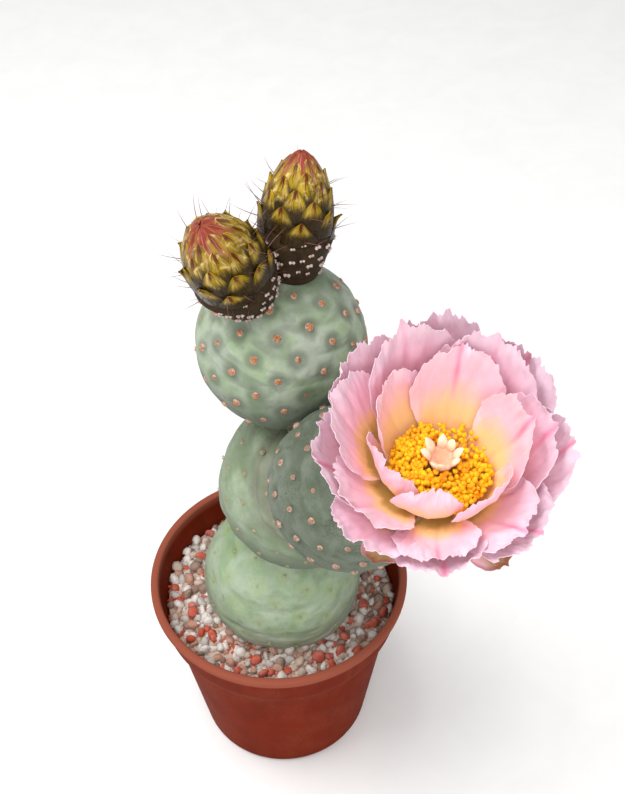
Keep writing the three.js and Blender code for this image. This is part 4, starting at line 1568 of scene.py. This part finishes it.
class BuildFlower(bpy.types.Operator):
    """Opens the flower: receptacle, sepals, petals, stamens and pistil"""

    bl_idname = "cactus.build_flower"
    bl_label = "Build the flower"

    def execute(self, context):
        size = context.scene.cactus_flower
        buds = context.scene.cactus_buds
        place = flower_frame(size)
        self.origin = place.translation
        self.turn = Vector(place.to_euler())
        self.size = size
        self.receptacle(buds, place)
        self.petals()
        self.stamens()
        self.pistil(place)
        return {"FINISHED"}

    def receptacle(self, buds, place):
        centre, radius = globe_of("side")
        axis = place.to_3x3() @ Vector((0, 0, 1))
        start = centre + (self.origin - centre).normalized() * (radius - ROOT_DEPTH)
        end = self.origin + axis * 0.9 * MM
        curve = (start, self.origin - axis * 9 * MM, end)
        sections = [(share, width * MM) for share, width in FLOWER_FOOT]
        wool = {
            "Tuft Size": buds.tuft_size, "Spacing": buds.tuft_spacing * 1.1, "Seed": 3,
            "Husk": bpy.data.materials["receptacle_skin"], "Wool": bpy.data.materials["tuft_wool"],
        }
        receptacle(
            "flower_husk", "flower_receptacle", curve, sections,
            lambda spot: (spot - end).dot(axis) < -3.4 * MM, wool,
        )

    def petals(self):
        chance = random.Random(41)
        tree = petal_tree()
        for whorl, shape in WHORLS.items():
            sepal = whorl == "sepal"
            tissue = sepal_material(self.size) if sepal else petal_material(self.size, whorl, shape)
            for number in range(shape["count"]):
                heading = 2 * math.pi / shape["count"] * (number + shape["turn"])
                size = chance.uniform(0.94, 0.98)
                drift = chance.uniform(-0.35, 0.35)
                inputs = {
                    "Foot": self.section_point(shape["foot"]), "Pull": self.section_point(shape["pull"]),
                    "Tip": self.section_point(shape["tip"]) * size,
                    "Pull Lean": self.section_point(shape["pull_lean"]),
                    "Tip Lean": self.section_point(shape["tip_lean"]), "Swing": float(shape["swing"]),
                    "Curl": (shape["curl"] + drift) * MM, "Front Curl": (shape["front_curl"] + drift) * MM,
                    "Heading": heading + chance.uniform(-0.05, 0.05),
                    "Half Angle": math.radians(shape["half"]) * chance.uniform(0.92, 1.08),
                    "Roundness": 0.6 if sepal else chance.uniform(0.2, 0.32),
                    "Point": 0.05 if sepal else chance.uniform(0.0, 0.04),
                    "Ruffle": shape["ruffle"] * MM, "Overlap": chance.uniform(1.5, 1.8) * MM,
                    "Cup": chance.uniform(0.0, 1.0) * MM,
                    "Ragged": 0.03 if sepal else 0.07, "Hue": chance.random(),
                    "Seed": chance.uniform(0, 50), "Turn": self.turn, "Origin": self.origin, "Tissue": tissue,
                }
                blade = f"{whorl}_blade_{number + 1}"
                piece = run_tree(blade, tree, inputs, thickness=self.size.petal_thickness)
                piece.data.set_sharp_from_angle(angle=math.radians(55))
                claim(piece, "sepal" if sepal else "petal", f"{whorl}_{number + 1}")

    @staticmethod
    def section_point(point):
        """A (radius, height) of a whorl's section in mm, as a vector in metres."""
        return Vector((point[0], 0, point[1])) * MM

    def stamens(self):
        inputs = {
            "Stamens": self.size.stamens, "Turn": self.turn, "Origin": self.origin,
            "Pollen": anther_material(self.size),
        }
        piece = run_tree("stamen_crowd", stamens_tree(), inputs)
        claim(piece, "anther", "stamens")

    def pistil(self, place):
        made = ringed_mesh(turned_rings([(r * MM, z * MM) for r, z in PISTIL_COLUMN], 24))
        sections = [(share, width * MM) for share, width in STIGMA_LOBE]
        for i in range(STIGMA_LOBES):
            angle = 2 * math.pi * (i + 0.3 * math.sin(3 * i)) / STIGMA_LOBES
            out = Vector((math.cos(angle), math.sin(angle), 0))
            start = out * 1.9 * MM + Vector((0, 0, 9.8 * MM))
            bend = out * 2.4 * MM + Vector((0, 0, 12.2 * MM))
            rise = (13.9 + 0.6 * math.cos(4 * i)) * MM
            end = out * (3.6 + 0.5 * math.sin(5 * i)) * MM + Vector((0, 0, rise))
            lobe = ringed_mesh(swept_rings((start, bend, end), sections, 12, flat=0.5))
            mesh = bpy.data.meshes.new("lobe")
            lobe.to_mesh(mesh)
            lobe.free()
            made.from_mesh(mesh)
            bpy.data.meshes.remove(mesh)
        heights = [vertex.co.z for vertex in made.verts]
        made.transform(place)
        piece = link_mesh("pistil_column", made)
        marks = piece.data.attributes.new("along", "FLOAT", "POINT")
        marks.data.foreach_set("value", [z / STIGMA_TOP for z in heights])
        piece.data.materials.append(pistil_material(self.size))
        smoothing = piece.modifiers.new("Soft", "SUBSURF")
        smoothing.levels = 1
        smoothing.render_levels = 1
        claim(piece, "pistil", "pistil")


class BuildStage(bpy.types.Operator):
    """Sets the pale floor, the soft light and the camera"""

    bl_idname = "cactus.build_stage"
    bl_label = "Build the stage"

    def execute(self, context):
        size = context.scene.cactus_stage
        made = bmesh.new()
        bmesh.ops.create_grid(made, x_segments=8, y_segments=8, size=3.0)
        floor = link_mesh("floor", made)
        floor.data.materials.append(floor_material(size))
        world = bpy.data.worlds.new("studio")
        world.use_nodes = True
        background = world.node_tree.nodes["Background"]
        background.inputs["Color"].default_value = (1, 1, 1, 1)
        background.inputs["Strength"].default_value = size.world_strength
        context.scene.world = world
        low, high = CAD_BOX
        middle = (Vector(low) + Vector(high)) / 2
        for name, lamp in LAMPS.items():
            place = middle + Vector(lamp["place"])
            self.lamp(name, place, middle, lamp["width"], getattr(size, f"{name}_power"))
        camera = bpy.data.objects.new("camera", bpy.data.cameras.new("camera"))
        camera.data.lens = size.lens
        camera.data.sensor_width = 36
        camera.data.clip_start = 0.01
        camera.data.clip_end = 20
        pitch = Matrix.Rotation(math.pi / 2 - size.elevation, 4, "X")
        roll = Matrix.Rotation(size.roll, 4, "Z")
        camera.matrix_world = Matrix.Translation(size.camera_place) @ pitch @ roll
        context.scene.collection.objects.link(camera)
        context.scene.camera = camera
        context.scene.view_settings.view_transform = "Standard"
        return {"FINISHED"}

    @staticmethod
    def lamp(name, place, target, width, power):
        light = bpy.data.lights.new(name, "AREA")
        light.size = width
        light.energy = power
        piece = bpy.data.objects.new(name, light)
        piece.location = place
        piece.rotation_euler = (target - place).to_track_quat("-Z", "Y").to_euler()
        bpy.context.scene.collection.objects.link(piece)


STEPS = (BuildPot, BuildGravel, BuildStem, BuildBuds, BuildFlower, BuildStage)


class CactusPanel(bpy.types.Panel):
    """Lists the cactus's build steps and their settings"""

    bl_idname = "VIEW3D_PT_cactus"
    bl_label = "Potted Cactus"
    bl_space_type = "VIEW_3D"
    bl_region_type = "UI"
    bl_category = "Cactus"

    def draw(self, context):
        for step in STEPS:
            self.layout.operator(step.bl_idname)
        for group in SETTINGS:
            settings = getattr(context.scene, group)
            for name in settings.__annotations__:
                self.layout.prop(settings, name)


SETTINGS = {
    "cactus_pot": CactusPotSettings,
    "cactus_stem": CactusStemSettings,
    "cactus_buds": CactusBudSettings,
    "cactus_flower": CactusFlowerSettings,
    "cactus_stage": CactusStageSettings,
}


def register():
    for group in (*SETTINGS.values(), *STEPS, CactusPanel):
        bpy.utils.register_class(group)
    for name, group in SETTINGS.items():
        setattr(bpy.types.Scene, name, bpy.props.PointerProperty(type=group))


def unregister():
    for name in SETTINGS:
        delattr(bpy.types.Scene, name)
    for group in reversed((*SETTINGS.values(), *STEPS, CactusPanel)):
        bpy.utils.unregister_class(group)


def main():
    register()
    bpy.ops.cactus.build_pot()
    bpy.ops.cactus.build_gravel()
    bpy.ops.cactus.build_stem()
    bpy.ops.cactus.build_buds()
    bpy.ops.cactus.build_flower()
    bpy.ops.cactus.build_stage()


if __name__ == "__main__":
    main()
